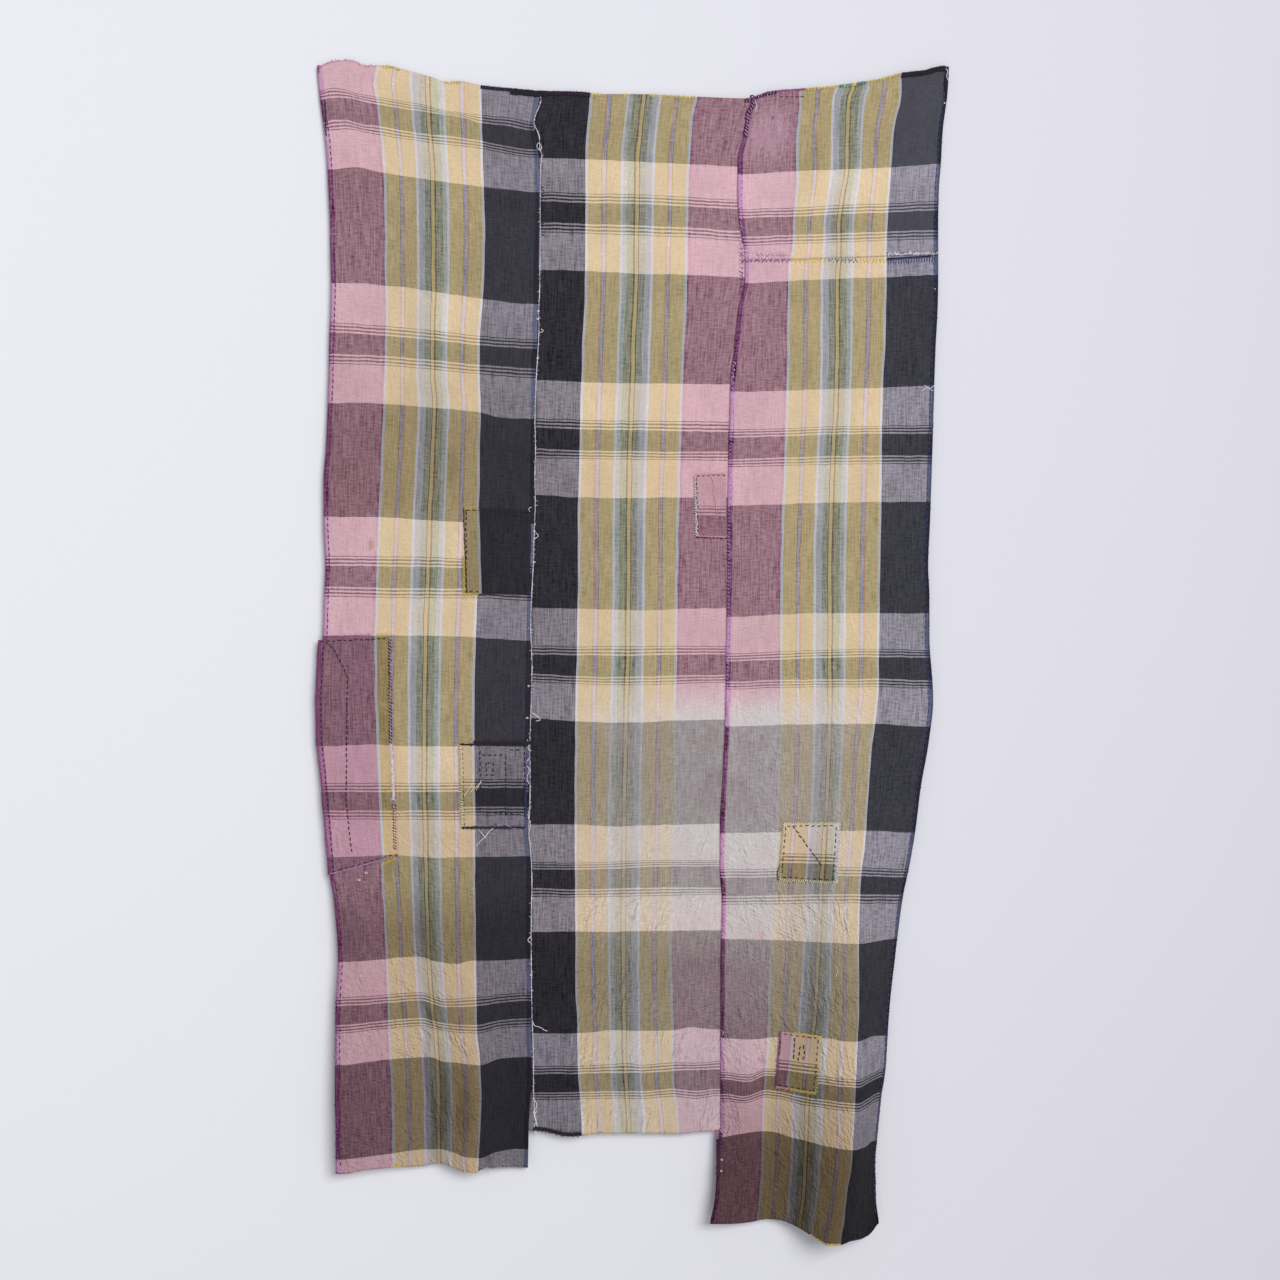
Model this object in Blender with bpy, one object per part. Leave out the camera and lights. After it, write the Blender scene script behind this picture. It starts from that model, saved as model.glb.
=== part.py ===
"""A patched plaid cotton hanging: three narrow-loom lengths sewn side by side, and six mending patches.

It hangs by its top edge on a wall at Y = 0 and faces -Y. The origin is at the wall behind the middle of
the top edge, +Z is up and +X is to the right as the front is seen. Tables are in millimetres.
"""

import bmesh
import bpy
from mathutils import Vector

MM = 0.001

CLOTH = 1.2  # thickness of a panel
PATCH_CLOTH = 1.0  # thickness of a patch
LAYER_GAP = 0.6  # between a panel and the patch that lies on it
SEAM_GAP = 0.5  # between two lengths that meet edge to edge
LAP = 9.0  # how far the middle length runs on behind the right-hand one
LAP_STEP = 0.9  # each of the two lapped edges steps this far out of its panel
LAP_EASE = 16.0  # width over which a lapped edge steps out

# Widths and heights were read square on from this eye point, so what stands off the wall is drawn in to it.
EYE_X = 11.0
EYE_HEIGHT = -872.0
EYE_DISTANCE = 2600.0

FIRST_ROW = -24.0  # height of the first level row of each mesh
ROW_STEP = 34.0  # height between level rows
LAST_ROW = -1790.0
ROW_CLEARANCE = 10.0  # a level row keeps this far from an outline
SLOPE_REACH = 2.0  # half the distance over which the slope of the drape is read

# Places of the upright edges and seams at each height: height, left edge, seam one, seam two, right edge.
# Seam one joins the left and middle lengths, and seam two the middle and right-hand ones.
UPRIGHTS = (
    (45, -505, -149, 196, 505),
    (5, -502, -149, 191, 503),
    (-27, -498, -154, 184, 499),
    (-50, -495, -158, 180, 496),
    (-75, -492, -154, 174, 494),
    (-98, -490, -151, 168, 493),
    (-155, -487, -148, 167, 489),
    (-200, -485, -149, 169, 488),
    (-259, -484, -151, 179, 488),
    (-294, -483, -151, 179, 488),
    (-346, -484, -152, 168, 487),
    (-400, -486, -153, 163, 484),
    (-456, -487, -155, 156, 482),
    (-560, -491, -156, 153, 479),
    (-620, -495, -157, 152, 477),
    (-680, -495, -158, 151, 475),
    (-755, -492, -160, 151, 472),
    (-800, -494, -161, 150, 474),
    (-865, -496, -162, 149, 474),
    (-968, -503, -164, 148, 480),
    (-1034, -503, -165, 146, 473),
    (-1109, -496, -167, 142, 460),
    (-1173, -491, -168, 139, 452),
    (-1238, -487, -163, 139, 441),
    (-1285, -479, -163, 142, 431),
    (-1387, -472, -163, 140, 418),
    (-1456, -476, -163, 140, 410),
    (-1560, -477, -162, 140, 403),
    (-1610, -477, -165, 140, 395),
    (-1650, -476, -167, 140, 391),
    (-1663, -476, -167, 133, 390),
    (-1726, -476, -168, 133, 386),
    (-1768, -476, -168, 130, 388),
    (-1806, -476, -168, 123, 393),
    (-1840, -476, -168, 121, 394),
)
LEFT_EDGE, SEAM_ONE, SEAM_TWO, RIGHT_EDGE = 1, 2, 3, 4

# The top edge, held at its two corners and sagging between them: across, height.
TOP_EDGE = (
    (-505, 45),
    (-482, 53),
    (-451, 55),
    (-429, 46),
    (-394, 47),
    (-373, 42),
    (-325, 29),
    (-298, 21),
    (-280, 22),
    (-242, 15),
    (-203, 11),
    (-147, 6),
    (-90, 5),
    (-46, 1),
    (11, 1),
    (101, -3),
    (187, -6),
    (197, -2),
    (222, 6),
    (270, 10),
    (326, 15),
    (362, 20),
    (395, 26),
    (430, 35),
    (466, 39),
    (496, 46),
    (505, 45),
)

# The three hems, each at its own height: across, height.
LEFT_HEM = (
    (-476, -1726),
    (-464, -1726),
    (-429, -1720),
    (-387, -1716),
    (-334, -1713),
    (-310, -1709),
    (-290, -1715),
    (-269, -1723),
    (-251, -1725),
    (-243, -1719),
    (-221, -1716),
    (-186, -1715),
    (-168, -1716),
)
MIDDLE_HEM = (
    (-167, -1656),
    (-141, -1658),
    (-102, -1666),
    (-46, -1661),
    (11, -1661),
    (75, -1662),
    (101, -1659),
    (131, -1657),
    (149, -1657),
)
RIGHT_HEM = (
    (123, -1806),
    (152, -1806),
    (187, -1803),
    (215, -1798),
    (236, -1800),
    (257, -1808),
    (278, -1820),
    (298, -1833),
    (312, -1840),
    (330, -1840),
    (347, -1834),
    (365, -1830),
    (378, -1822),
    (394, -1805),
)

# The level seam that joins the short top piece to the right-hand length: across, height.
CROSS_SEAM = (
    (160, -266),
    (330, -261),
    (500, -256),
)

# How far the cloth stands off the wall where it has no fold: height, distance.
WALL_DISTANCE = (
    (55, 3),
    (-100, 5),
    (-600, 8),
    (-1200, 10),
    (-1700, 12),
    (-1850, 12),
)

# Folds run down the cloth as soft ridges, each through two or more stations:
# height, across, width of its left flank, width of its right flank, rise off the flat cloth.
FOLDS = {
    "upper left": (
        (-40, -300, 45, 45, 0),
        (-190, -312, 45, 45, 5),
        (-420, -328, 45, 45, 4),
        (-560, -335, 45, 45, 0),
    ),
    "upper right": (
        (-10, 330, 45, 45, 0),
        (-130, 300, 45, 45, 5),
        (-250, 262, 45, 45, 3),
        (-400, 250, 45, 45, 0),
    ),
    "middle": (
        (-150, -20, 130, 130, 0),
        (-700, 10, 130, 130, 4),
        (-1200, 20, 130, 130, 3),
        (-1500, 0, 110, 110, 5),
        (-1670, -20, 90, 100, 3),
    ),
    "middle hem": (
        (-1480, -95, 45, 50, 0),
        (-1666, -102, 45, 50, 5),
    ),
    "left corner": (
        (-1180, -480, 60, 150, 0),
        (-1400, -480, 60, 150, 6),
        (-1726, -482, 60, 160, 17),
    ),
    "left diagonal": (
        (-1262, -452, 32, 36, 0),
        (-1340, -440, 32, 36, 5),
        (-1450, -424, 32, 36, 0),
    ),
    "left hem": (
        (-1250, -300, 75, 70, 0),
        (-1370, -283, 75, 70, 6),
        (-1550, -250, 80, 62, 15),
        (-1726, -252, 80, 62, 20),
    ),
    "right hem": (
        (-1020, 372, 120, 95, 0),
        (-1170, 366, 130, 82, 10),
        (-1352, 360, 140, 62, 28),
        (-1560, 357, 140, 48, 44),
        (-1690, 350, 135, 44, 50),
        (-1768, 339, 125, 52, 50),
        (-1840, 330, 105, 64, 46),
    ),
    "by seam two": (
        (-1400, 178, 40, 45, 0),
        (-1600, 176, 40, 45, 7),
        (-1700, 176, 40, 45, 5),
        (-1806, 180, 40, 45, 0),
    ),
    "right corner": (
        (-1640, 112, 60, 95, 0),
        (-1806, 112, 60, 100, 15),
    ),
}

# Each patch runs down through two or more stations: its left end across and height, its right end likewise.
PATCHES = {
    "patch_dark": ((-272, -661, -163, -664), (-267, -797, -165, -800)),
    "patch_mauve": (
        (-504, -872, -389, -867),
        (-509, -968, -387, -968),
        (-507, -1034, -384, -1040),
        (-499, -1112, -381, -1128),
        (-488, -1248, -378, -1219),
    ),
    "patch_blue_grey": ((-278, -1038, -169, -1040), (-275, -1173, -172, -1173)),
    "patch_pink": ((98, -608, 149, -606), (101, -707, 148, -709)),
    "patch_striped": ((240, -1165, 330, -1165), (233, -1256, 325, -1261)),
    "patch_tilted": ((236, -1498, 302, -1506), (228, -1588, 294, -1598)),
}
PATCH_COLUMN = 12.0  # width of a patch's mesh columns
PATCH_ROW = 20.0  # height of a patch's mesh rows

# Linear colours of the cloth: red, green, blue.
COLOURS = {
    "panel_left": (0.36, 0.29, 0.21),
    "panel_middle": (0.33, 0.28, 0.20),
    "panel_right_top": (0.37, 0.29, 0.23),
    "panel_right": (0.34, 0.28, 0.21),
    "patch_dark": (0.03, 0.03, 0.035),
    "patch_mauve": (0.36, 0.20, 0.23),
    "patch_blue_grey": (0.14, 0.14, 0.17),
    "patch_pink": (0.52, 0.30, 0.34),
    "patch_striped": (0.50, 0.45, 0.28),
    "patch_tilted": (0.45, 0.33, 0.24),
}
ROUGHNESS = 0.9


def slope_at(rows, column, index):
    """The slope of a table's column at one row, level where the column turns back."""
    if index == 0 or index == len(rows) - 1:
        return 0.0
    before, here, after = rows[index - 1 : index + 2]
    rise = (here[column] - before[column]) / (here[0] - before[0])
    fall = (after[column] - here[column]) / (after[0] - here[0])
    if rise * fall <= 0.0:
        return 0.0
    return 2.0 * rise * fall / (rise + fall)


def read(rows, column, key):
    """A column of a table at a key between its rows, along a smooth curve that never overshoots."""
    if rows[0][0] > rows[-1][0]:
        rows = rows[::-1]
    if key <= rows[0][0]:
        return float(rows[0][column])
    if key >= rows[-1][0]:
        return float(rows[-1][column])
    index = next(i for i in range(1, len(rows)) if rows[i][0] >= key)
    low, high = rows[index - 1], rows[index]
    span = high[0] - low[0]
    t = (key - low[0]) / span
    start = slope_at(rows, column, index - 1) * span
    end = slope_at(rows, column, index) * span
    return (
        low[column] * (1.0 + 2.0 * t) * (1.0 - t) ** 2
        + start * t * (1.0 - t) ** 2
        + high[column] * t * t * (3.0 - 2.0 * t)
        - end * t * t * (1.0 - t)
    )


def fold_rise(stations, x, z):
    """How far one fold lifts the cloth at a place."""
    if z > stations[0][0] or z < stations[-1][0] - ROW_STEP:
        return 0.0
    aside = x - read(stations, 1, z)
    flank = read(stations, 2, z) if aside < 0.0 else read(stations, 3, z)
    share = min(1.0, abs(aside) / flank)
    return read(stations, 4, z) * (1.0 - share * share * (3.0 - 2.0 * share))


def wall_distance(x, z):
    """How far the back of the cloth stands off the wall at a place."""
    return read(WALL_DISTANCE, 1, z) + sum(fold_rise(stations, x, z) for stations in FOLDS.values())


def lay(x, z, lift):
    """The point that lies a lift above the back of the cloth, square to its slope, in metres."""
    across = wall_distance(x + SLOPE_REACH, z) - wall_distance(x - SLOPE_REACH, z)
    down = wall_distance(x, z + SLOPE_REACH) - wall_distance(x, z - SLOPE_REACH)
    outward = Vector((-across, -2.0 * SLOPE_REACH, -down)).normalized()
    point = Vector((x, -wall_distance(x, z), z)) + outward * lift
    nearer = 1.0 + point.y / EYE_DISTANCE
    point.x = EYE_X + (point.x - EYE_X) * nearer
    point.z = EYE_HEIGHT + (point.z - EYE_HEIGHT) * nearer
    return point * MM


def cloth_material(name):
    """Plain woven cotton in one colour."""
    material = bpy.data.materials.new(name + "_cotton")
    material.use_nodes = True
    shader = material.node_tree.nodes["Principled BSDF"]
    shader.inputs["Base Color"].default_value = (*COLOURS[name], 1.0)
    shader.inputs["Roughness"].default_value = ROUGHNESS
    shader.inputs["Metallic"].default_value = 0.0
    return material


def sheet(name, place, columns, rows, thickness):
    """A sheet of cloth from a grid, where place(column, row) gives the point of its back."""
    bm = bmesh.new()
    bmesh.ops.create_grid(bm, x_segments=columns, y_segments=rows, size=1.0)
    for vert in bm.verts:
        column = round((vert.co.x + 1.0) / 2.0 * columns)
        row = round((1.0 - vert.co.y) / 2.0 * rows)
        vert.co = place(column, row)
    mesh = bpy.data.meshes.new(name)
    bm.to_mesh(mesh)
    bm.free()
    mesh.shade_smooth()
    cloth = bpy.data.objects.new(name, mesh)
    bpy.context.scene.collection.objects.link(cloth)
    mesh.materials.append(cloth_material(name))
    solid = cloth.modifiers.new("thickness", "SOLIDIFY")
    solid.thickness = thickness * MM
    solid.offset = 1.0
    solid.use_even_offset = True
    return cloth


def plain_columns(count):
    """Even columns from edge to edge, none of them lifted."""
    return lambda left, right: [(left + (right - left) * i / count, 0.0) for i in range(count + 1)]


def tucked_columns(count):
    """Even columns, then the strip that is tucked in behind the next length."""

    def columns(left, right):
        seam = right - LAP
        body = plain_columns(count)(left, seam - 1.0 - LAP_EASE)
        return body + [(seam - 1.0, -LAP_STEP), (right, -LAP_STEP)]

    return columns


def lapping_columns(count):
    """The strip that lies over the last length, then even columns."""

    def columns(left, right):
        strip = [(left, LAP_STEP), (left + LAP + 1.0, LAP_STEP)]
        return strip + plain_columns(count)(left + LAP + 1.0 + LAP_EASE, right)

    return columns


def edge(column, shift=0.0):
    """An upright edge as a function of height, moved sideways by a shift."""
    return lambda z: read(UPRIGHTS, column, z) + shift


def outline(table, shift=0.0):
    """A level edge as a function of the place across, moved up by a shift."""
    return lambda x: read(table, 1, x) + shift


def panel(name, left, right, top, hem, columns):
    """One length of cloth between two upright edges and two level ones."""

    def across(z, column):
        return columns(left(z), right(z))[column]

    def on_outline(level_edge, column, z):
        for _ in range(4):
            z = level_edge(across(z, column)[0])
        return z

    last = len(columns(left(FIRST_ROW), right(FIRST_ROW))) - 1
    tops = [on_outline(top, column, FIRST_ROW) for column in range(last + 1)]
    hems = [on_outline(hem, column, LAST_ROW) for column in range(last + 1)]
    levels = []
    z = FIRST_ROW
    while z > LAST_ROW:
        if max(hems) + ROW_CLEARANCE < z < min(tops) - ROW_CLEARANCE:
            levels.append(z)
        z -= ROW_STEP

    def place(column, row):
        if row == 0:
            z = tops[column]
        elif row == 1:
            z = (tops[column] + levels[0]) / 2.0
        elif row == len(levels) + 2:
            z = (hems[column] + levels[-1]) / 2.0
        elif row == len(levels) + 3:
            z = hems[column]
        else:
            z = levels[row - 2]
        x, lift = across(z, column)
        return lay(x, z, lift)

    return sheet(name, place, last, len(levels) + 3, CLOTH)


def patch(name, stations):
    """A patch on the front of the panels, straight between its stations."""
    gaps = len(stations) - 1
    left, top, right, _ = stations[0]
    columns = max(4, round((right - left) / PATCH_COLUMN))
    rows = gaps * max(4, round((top - stations[-1][1]) / gaps / PATCH_ROW))

    def place(column, row):
        along = row / rows * gaps
        index = min(gaps - 1, int(along))
        upper, lower = stations[index], stations[index + 1]
        t = along - index
        left_x, left_z, right_x, right_z = (a + (b - a) * t for a, b in zip(upper, lower))
        s = column / columns
        return lay(left_x + (right_x - left_x) * s, left_z + (right_z - left_z) * s, CLOTH + LAYER_GAP)

    return sheet(name, place, columns, rows, PATCH_CLOTH)


def build():
    for old in list(bpy.data.objects):
        bpy.data.objects.remove(old, do_unlink=True)
    half = SEAM_GAP / 2.0
    top = outline(TOP_EDGE)
    panel("panel_left", edge(LEFT_EDGE), edge(SEAM_ONE, -half), top, outline(LEFT_HEM), plain_columns(18))
    panel("panel_middle", edge(SEAM_ONE, half), edge(SEAM_TWO, LAP), top, outline(MIDDLE_HEM), tucked_columns(13))
    panel(
        "panel_right_top",
        edge(SEAM_TWO),
        edge(RIGHT_EDGE),
        top,
        outline(CROSS_SEAM, half),
        lapping_columns(20),
    )
    panel(
        "panel_right",
        edge(SEAM_TWO),
        edge(RIGHT_EDGE),
        outline(CROSS_SEAM, -half),
        outline(RIGHT_HEM),
        lapping_columns(20),
    )
    for name, stations in PATCHES.items():
        patch(name, stations)


build()
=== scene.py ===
"""The looks of a patched plaid cotton hanging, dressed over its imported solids.

Tables are in millimetres in the part's own frame: the origin is on the wall behind the middle of the top
edge, +X is to the right as the front is seen, +Z is up, and -Y is out from the wall. Every length of cloth
was woven on one chart: u runs across the warp from the pink selvedge, and v runs down the weft.
"""

import math

import bmesh
import bpy
import numpy as np
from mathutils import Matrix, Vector


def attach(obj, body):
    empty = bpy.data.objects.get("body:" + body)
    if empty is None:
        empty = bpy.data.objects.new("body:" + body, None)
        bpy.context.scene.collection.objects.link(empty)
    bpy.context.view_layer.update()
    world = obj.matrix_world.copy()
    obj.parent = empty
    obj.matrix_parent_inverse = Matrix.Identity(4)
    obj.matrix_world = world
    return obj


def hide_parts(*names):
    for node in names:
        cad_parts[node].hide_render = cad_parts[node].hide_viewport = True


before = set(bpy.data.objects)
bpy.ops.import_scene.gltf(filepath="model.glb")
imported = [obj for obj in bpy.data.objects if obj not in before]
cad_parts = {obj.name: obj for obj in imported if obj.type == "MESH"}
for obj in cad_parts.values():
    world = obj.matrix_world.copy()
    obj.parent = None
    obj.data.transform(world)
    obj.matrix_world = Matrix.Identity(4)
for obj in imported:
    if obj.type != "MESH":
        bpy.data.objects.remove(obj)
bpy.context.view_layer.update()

MM = 0.001

# The cloth's thicknesses, gaps and lap, as the solids have them.
CLOTH = 1.2
PATCH_CLOTH = 1.0
LAYER_GAP = 0.6
SEAM_GAP = 0.5
LAP = 9.0
LAP_STEP = 0.9
LAP_EASE = 16.0
SLOPE_REACH = 2.0
LAST_STEP = 34.0  # a fold runs on this far below its last station

# What stands off the wall is drawn in to this eye point, from which all widths and heights were read.
EYE_X = 11.0
EYE_HEIGHT = -872.0
EYE_DISTANCE = 2600.0

CELL_WIDE = 4.0  # size of one mesh cell of a length
CELL_HIGH = 4.3
PATCH_CELL = 3.0

CHART_WIDE = 336.0  # the chart's u runs from 0 to here
MIDDLE_FROM, MIDDLE_TO = 2.0, 320.0  # the part of it that the middle length has
SEARCH_TOP, SEARCH_HEM = -24.0, -1790.0  # heights from which a length's outline is looked for

# Upright edges and seams: height, left edge, seam one, seam two, right edge.
UPRIGHTS = (
    (45, -505, -149, 196, 505),
    (5, -502, -149, 191, 503),
    (-27, -498, -154, 184, 499),
    (-50, -495, -158, 180, 496),
    (-75, -492, -154, 174, 494),
    (-98, -490, -151, 168, 493),
    (-155, -487, -148, 167, 489),
    (-200, -485, -149, 169, 488),
    (-259, -484, -151, 179, 488),
    (-294, -483, -151, 179, 488),
    (-346, -484, -152, 168, 487),
    (-400, -486, -153, 163, 484),
    (-456, -487, -155, 156, 482),
    (-560, -491, -156, 153, 479),
    (-620, -495, -157, 152, 477),
    (-680, -495, -158, 151, 475),
    (-755, -492, -160, 151, 472),
    (-800, -494, -161, 150, 474),
    (-865, -496, -162, 149, 474),
    (-968, -503, -164, 148, 480),
    (-1034, -503, -165, 146, 473),
    (-1109, -496, -167, 142, 460),
    (-1173, -491, -168, 139, 452),
    (-1238, -487, -163, 139, 441),
    (-1285, -479, -163, 142, 431),
    (-1387, -472, -163, 140, 418),
    (-1456, -476, -163, 140, 410),
    (-1560, -477, -162, 140, 403),
    (-1610, -477, -165, 140, 395),
    (-1650, -476, -167, 140, 391),
    (-1663, -476, -167, 133, 390),
    (-1726, -476, -168, 133, 386),
    (-1768, -476, -168, 130, 388),
    (-1806, -476, -168, 123, 393),
    (-1840, -476, -168, 121, 394),
)
LEFT_EDGE, SEAM_ONE, SEAM_TWO, RIGHT_EDGE = 1, 2, 3, 4

# Level edges: across, height.
TOP_EDGE = (
    (-505, 45),
    (-482, 53),
    (-451, 55),
    (-429, 46),
    (-394, 47),
    (-373, 42),
    (-325, 29),
    (-298, 21),
    (-280, 22),
    (-242, 15),
    (-203, 11),
    (-147, 6),
    (-90, 5),
    (-46, 1),
    (11, 1),
    (101, -3),
    (187, -6),
    (197, -2),
    (222, 6),
    (270, 10),
    (326, 15),
    (362, 20),
    (395, 26),
    (430, 35),
    (466, 39),
    (496, 46),
    (505, 45),
)
LEFT_HEM = (
    (-476, -1726),
    (-464, -1726),
    (-429, -1720),
    (-387, -1716),
    (-334, -1713),
    (-310, -1709),
    (-290, -1715),
    (-269, -1723),
    (-251, -1725),
    (-243, -1719),
    (-221, -1716),
    (-186, -1715),
    (-168, -1716),
)
MIDDLE_HEM = (
    (-167, -1656),
    (-141, -1658),
    (-102, -1666),
    (-46, -1661),
    (11, -1661),
    (75, -1662),
    (101, -1659),
    (131, -1657),
    (149, -1657),
)
RIGHT_HEM = (
    (123, -1806),
    (152, -1806),
    (187, -1803),
    (215, -1798),
    (236, -1800),
    (257, -1808),
    (278, -1820),
    (298, -1833),
    (312, -1840),
    (330, -1840),
    (347, -1834),
    (365, -1830),
    (378, -1822),
    (394, -1805),
)
CROSS_SEAM = (
    (160, -266),
    (330, -261),
    (500, -256),
)

# How far the cloth stands off the wall where it has no fold: height, distance.
WALL_DISTANCE = (
    (55, 3),
    (-100, 5),
    (-600, 8),
    (-1200, 10),
    (-1700, 12),
    (-1850, 12),
)

# Folds: height, across, width of the left flank, width of the right flank, rise off the flat cloth.
FOLDS = (
    ((-40, -300, 45, 45, 0), (-190, -312, 45, 45, 5), (-420, -328, 45, 45, 4), (-560, -335, 45, 45, 0)),
    ((-10, 330, 45, 45, 0), (-130, 300, 45, 45, 5), (-250, 262, 45, 45, 3), (-400, 250, 45, 45, 0)),
    (
        (-150, -20, 130, 130, 0),
        (-700, 10, 130, 130, 4),
        (-1200, 20, 130, 130, 3),
        (-1500, 0, 110, 110, 5),
        (-1670, -20, 90, 100, 3),
    ),
    ((-1480, -95, 45, 50, 0), (-1666, -102, 45, 50, 5)),
    ((-1180, -480, 60, 150, 0), (-1400, -480, 60, 150, 6), (-1726, -482, 60, 160, 17)),
    ((-1262, -452, 32, 36, 0), (-1340, -440, 32, 36, 5), (-1450, -424, 32, 36, 0)),
    ((-1250, -300, 75, 70, 0), (-1370, -283, 75, 70, 6), (-1550, -250, 80, 62, 15), (-1726, -252, 80, 62, 20)),
    (
        (-1020, 372, 120, 95, 0),
        (-1170, 366, 130, 82, 10),
        (-1352, 360, 140, 62, 28),
        (-1560, 357, 140, 48, 44),
        (-1690, 350, 135, 44, 50),
        (-1768, 339, 125, 52, 50),
        (-1840, 330, 105, 64, 46),
    ),
    ((-1400, 178, 40, 45, 0), (-1600, 176, 40, 45, 7), (-1700, 176, 40, 45, 5), (-1806, 180, 40, 45, 0)),
    ((-1640, 112, 60, 95, 0), (-1806, 112, 60, 100, 15)),
)

# Patches: left end across and height, right end across and height, at each station down the patch.
PATCHES = {
    "patch_dark": ((-272, -661, -163, -664), (-267, -797, -165, -800)),
    "patch_mauve": (
        (-504, -872, -389, -867),
        (-509, -968, -387, -968),
        (-507, -1034, -384, -1040),
        (-499, -1112, -381, -1128),
        (-488, -1248, -378, -1219),
    ),
    "patch_blue_grey": ((-278, -1038, -169, -1040), (-275, -1173, -172, -1173)),
    "patch_pink": ((98, -608, 149, -606), (101, -707, 148, -709)),
    "patch_striped": ((240, -1165, 330, -1165), (233, -1256, 325, -1261)),
    "patch_tilted": ((236, -1498, 302, -1506), (228, -1588, 294, -1598)),
}

# Where a stripe of the warp runs down each length: height, across. The keys are the stripe's u on the chart.
STRIPE_RUNS = {
    "left": {
        87: (
            (46, -412), (18, -416), (-6, -412), (-42, -408), (-85, -403), (-155, -399), (-259, -398),
            (-363, -397), (-424, -398), (-563, -403), (-667, -408), (-754, -411), (-858, -414), (-944, -417),
            (-1058, -413), (-1206, -406), (-1317, -399), (-1387, -396), (-1509, -392), (-1624, -387),
            (-1714, -386),
        ),
        166: (
            (26, -330), (2, -329), (-50, -327), (-69, -325), (-152, -321), (-304, -320), (-387, -322),
            (-450, -322), (-493, -318), (-539, -320), (-667, -326), (-736, -328), (-875, -333), (-1075, -335),
            (-1179, -333), (-1317, -330), (-1422, -325), (-1509, -316), (-1595, -312), (-1699, -311),
        ),
        249: (
            (14, -243), (-43, -242), (-149, -239), (-216, -237), (-315, -240), (-387, -245), (-445, -246),
            (-498, -244), (-550, -245), (-744, -248), (-968, -254), (-1208, -253), (-1352, -252),
            (-1496, -250), (-1547, -245), (-1598, -243), (-1675, -246), (-1720, -248),
        ),
    },
    "middle": {
        87: (
            (-3, 104), (-21, 100), (-40, 97), (-66, 94), (-98, 92), (-194, 89), (-312, 87), (-382, 84),
            (-453, 81), (-536, 78), (-606, 76), (-677, 74), (-830, 72), (-981, 70), (-1101, 70), (-1147, 69),
            (-1205, 67), (-1325, 64), (-1373, 63), (-1429, 64), (-1526, 66), (-1573, 67), (-1608, 71),
            (-1654, 75),
        ),
        166: (
            (-2, 18), (-21, 16), (-40, 14), (-66, 11), (-98, 8), (-194, 7), (-312, 5), (-382, 2), (-453, 0),
            (-536, -3), (-606, -5), (-677, -6), (-830, -7), (-901, -8), (-984, -10), (-1125, -13),
            (-1205, -14), (-1325, -15), (-1430, -14), (-1526, -13), (-1573, -11), (-1608, -8), (-1658, -6),
        ),
        249: (
            (-2, -69), (-27, -71), (-53, -73), (-78, -75), (-104, -76), (-229, -76), (-312, -77), (-406, -81),
            (-499, -84), (-606, -86), (-677, -88), (-760, -88), (-901, -90), (-982, -92), (-1101, -93),
            (-1208, -93), (-1349, -92), (-1432, -92), (-1478, -89), (-1562, -88), (-1597, -85), (-1658, -82),
        ),
    },
    "right": {
        87: (
            (-16, 265), (-34, 263), (-66, 260), (-126, 260), (-186, 256), (-243, 254), (-278, 248),
            (-366, 246), (-437, 245), (-518, 243), (-614, 240), (-685, 237), (-814, 234), (-955, 234),
            (-1043, 232), (-1130, 229), (-1408, 216), (-1512, 214), (-1557, 210), (-1646, 205), (-1714, 204),
            (-1781, 199), (-1803, 197),
        ),
        166: (
            (11, 351), (-2, 346), (-27, 343), (-66, 342), (-115, 341), (-168, 333), (-208, 328), (-256, 328),
            (-302, 326), (-437, 325), (-507, 323), (-566, 319), (-626, 317), (-744, 314), (-955, 314),
            (-1130, 309), (-1301, 299), (-1408, 294), (-1472, 290), (-1613, 278), (-1714, 275), (-1781, 270),
            (-1811, 266),
        ),
        249: (
            (26, 429), (6, 429), (-13, 427), (-32, 422), (-51, 418), (-64, 416), (-126, 412), (-186, 408),
            (-243, 405), (-302, 405), (-366, 404), (-437, 401), (-517, 398), (-614, 397), (-814, 394),
            (-955, 392), (-1043, 382), (-1130, 375), (-1194, 371), (-1258, 364), (-1344, 361), (-1451, 361),
            (-1534, 358), (-1579, 356), (-1669, 352), (-1714, 349), (-1758, 342), (-1803, 337), (-1835, 332),
        ),
    },
}

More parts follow.
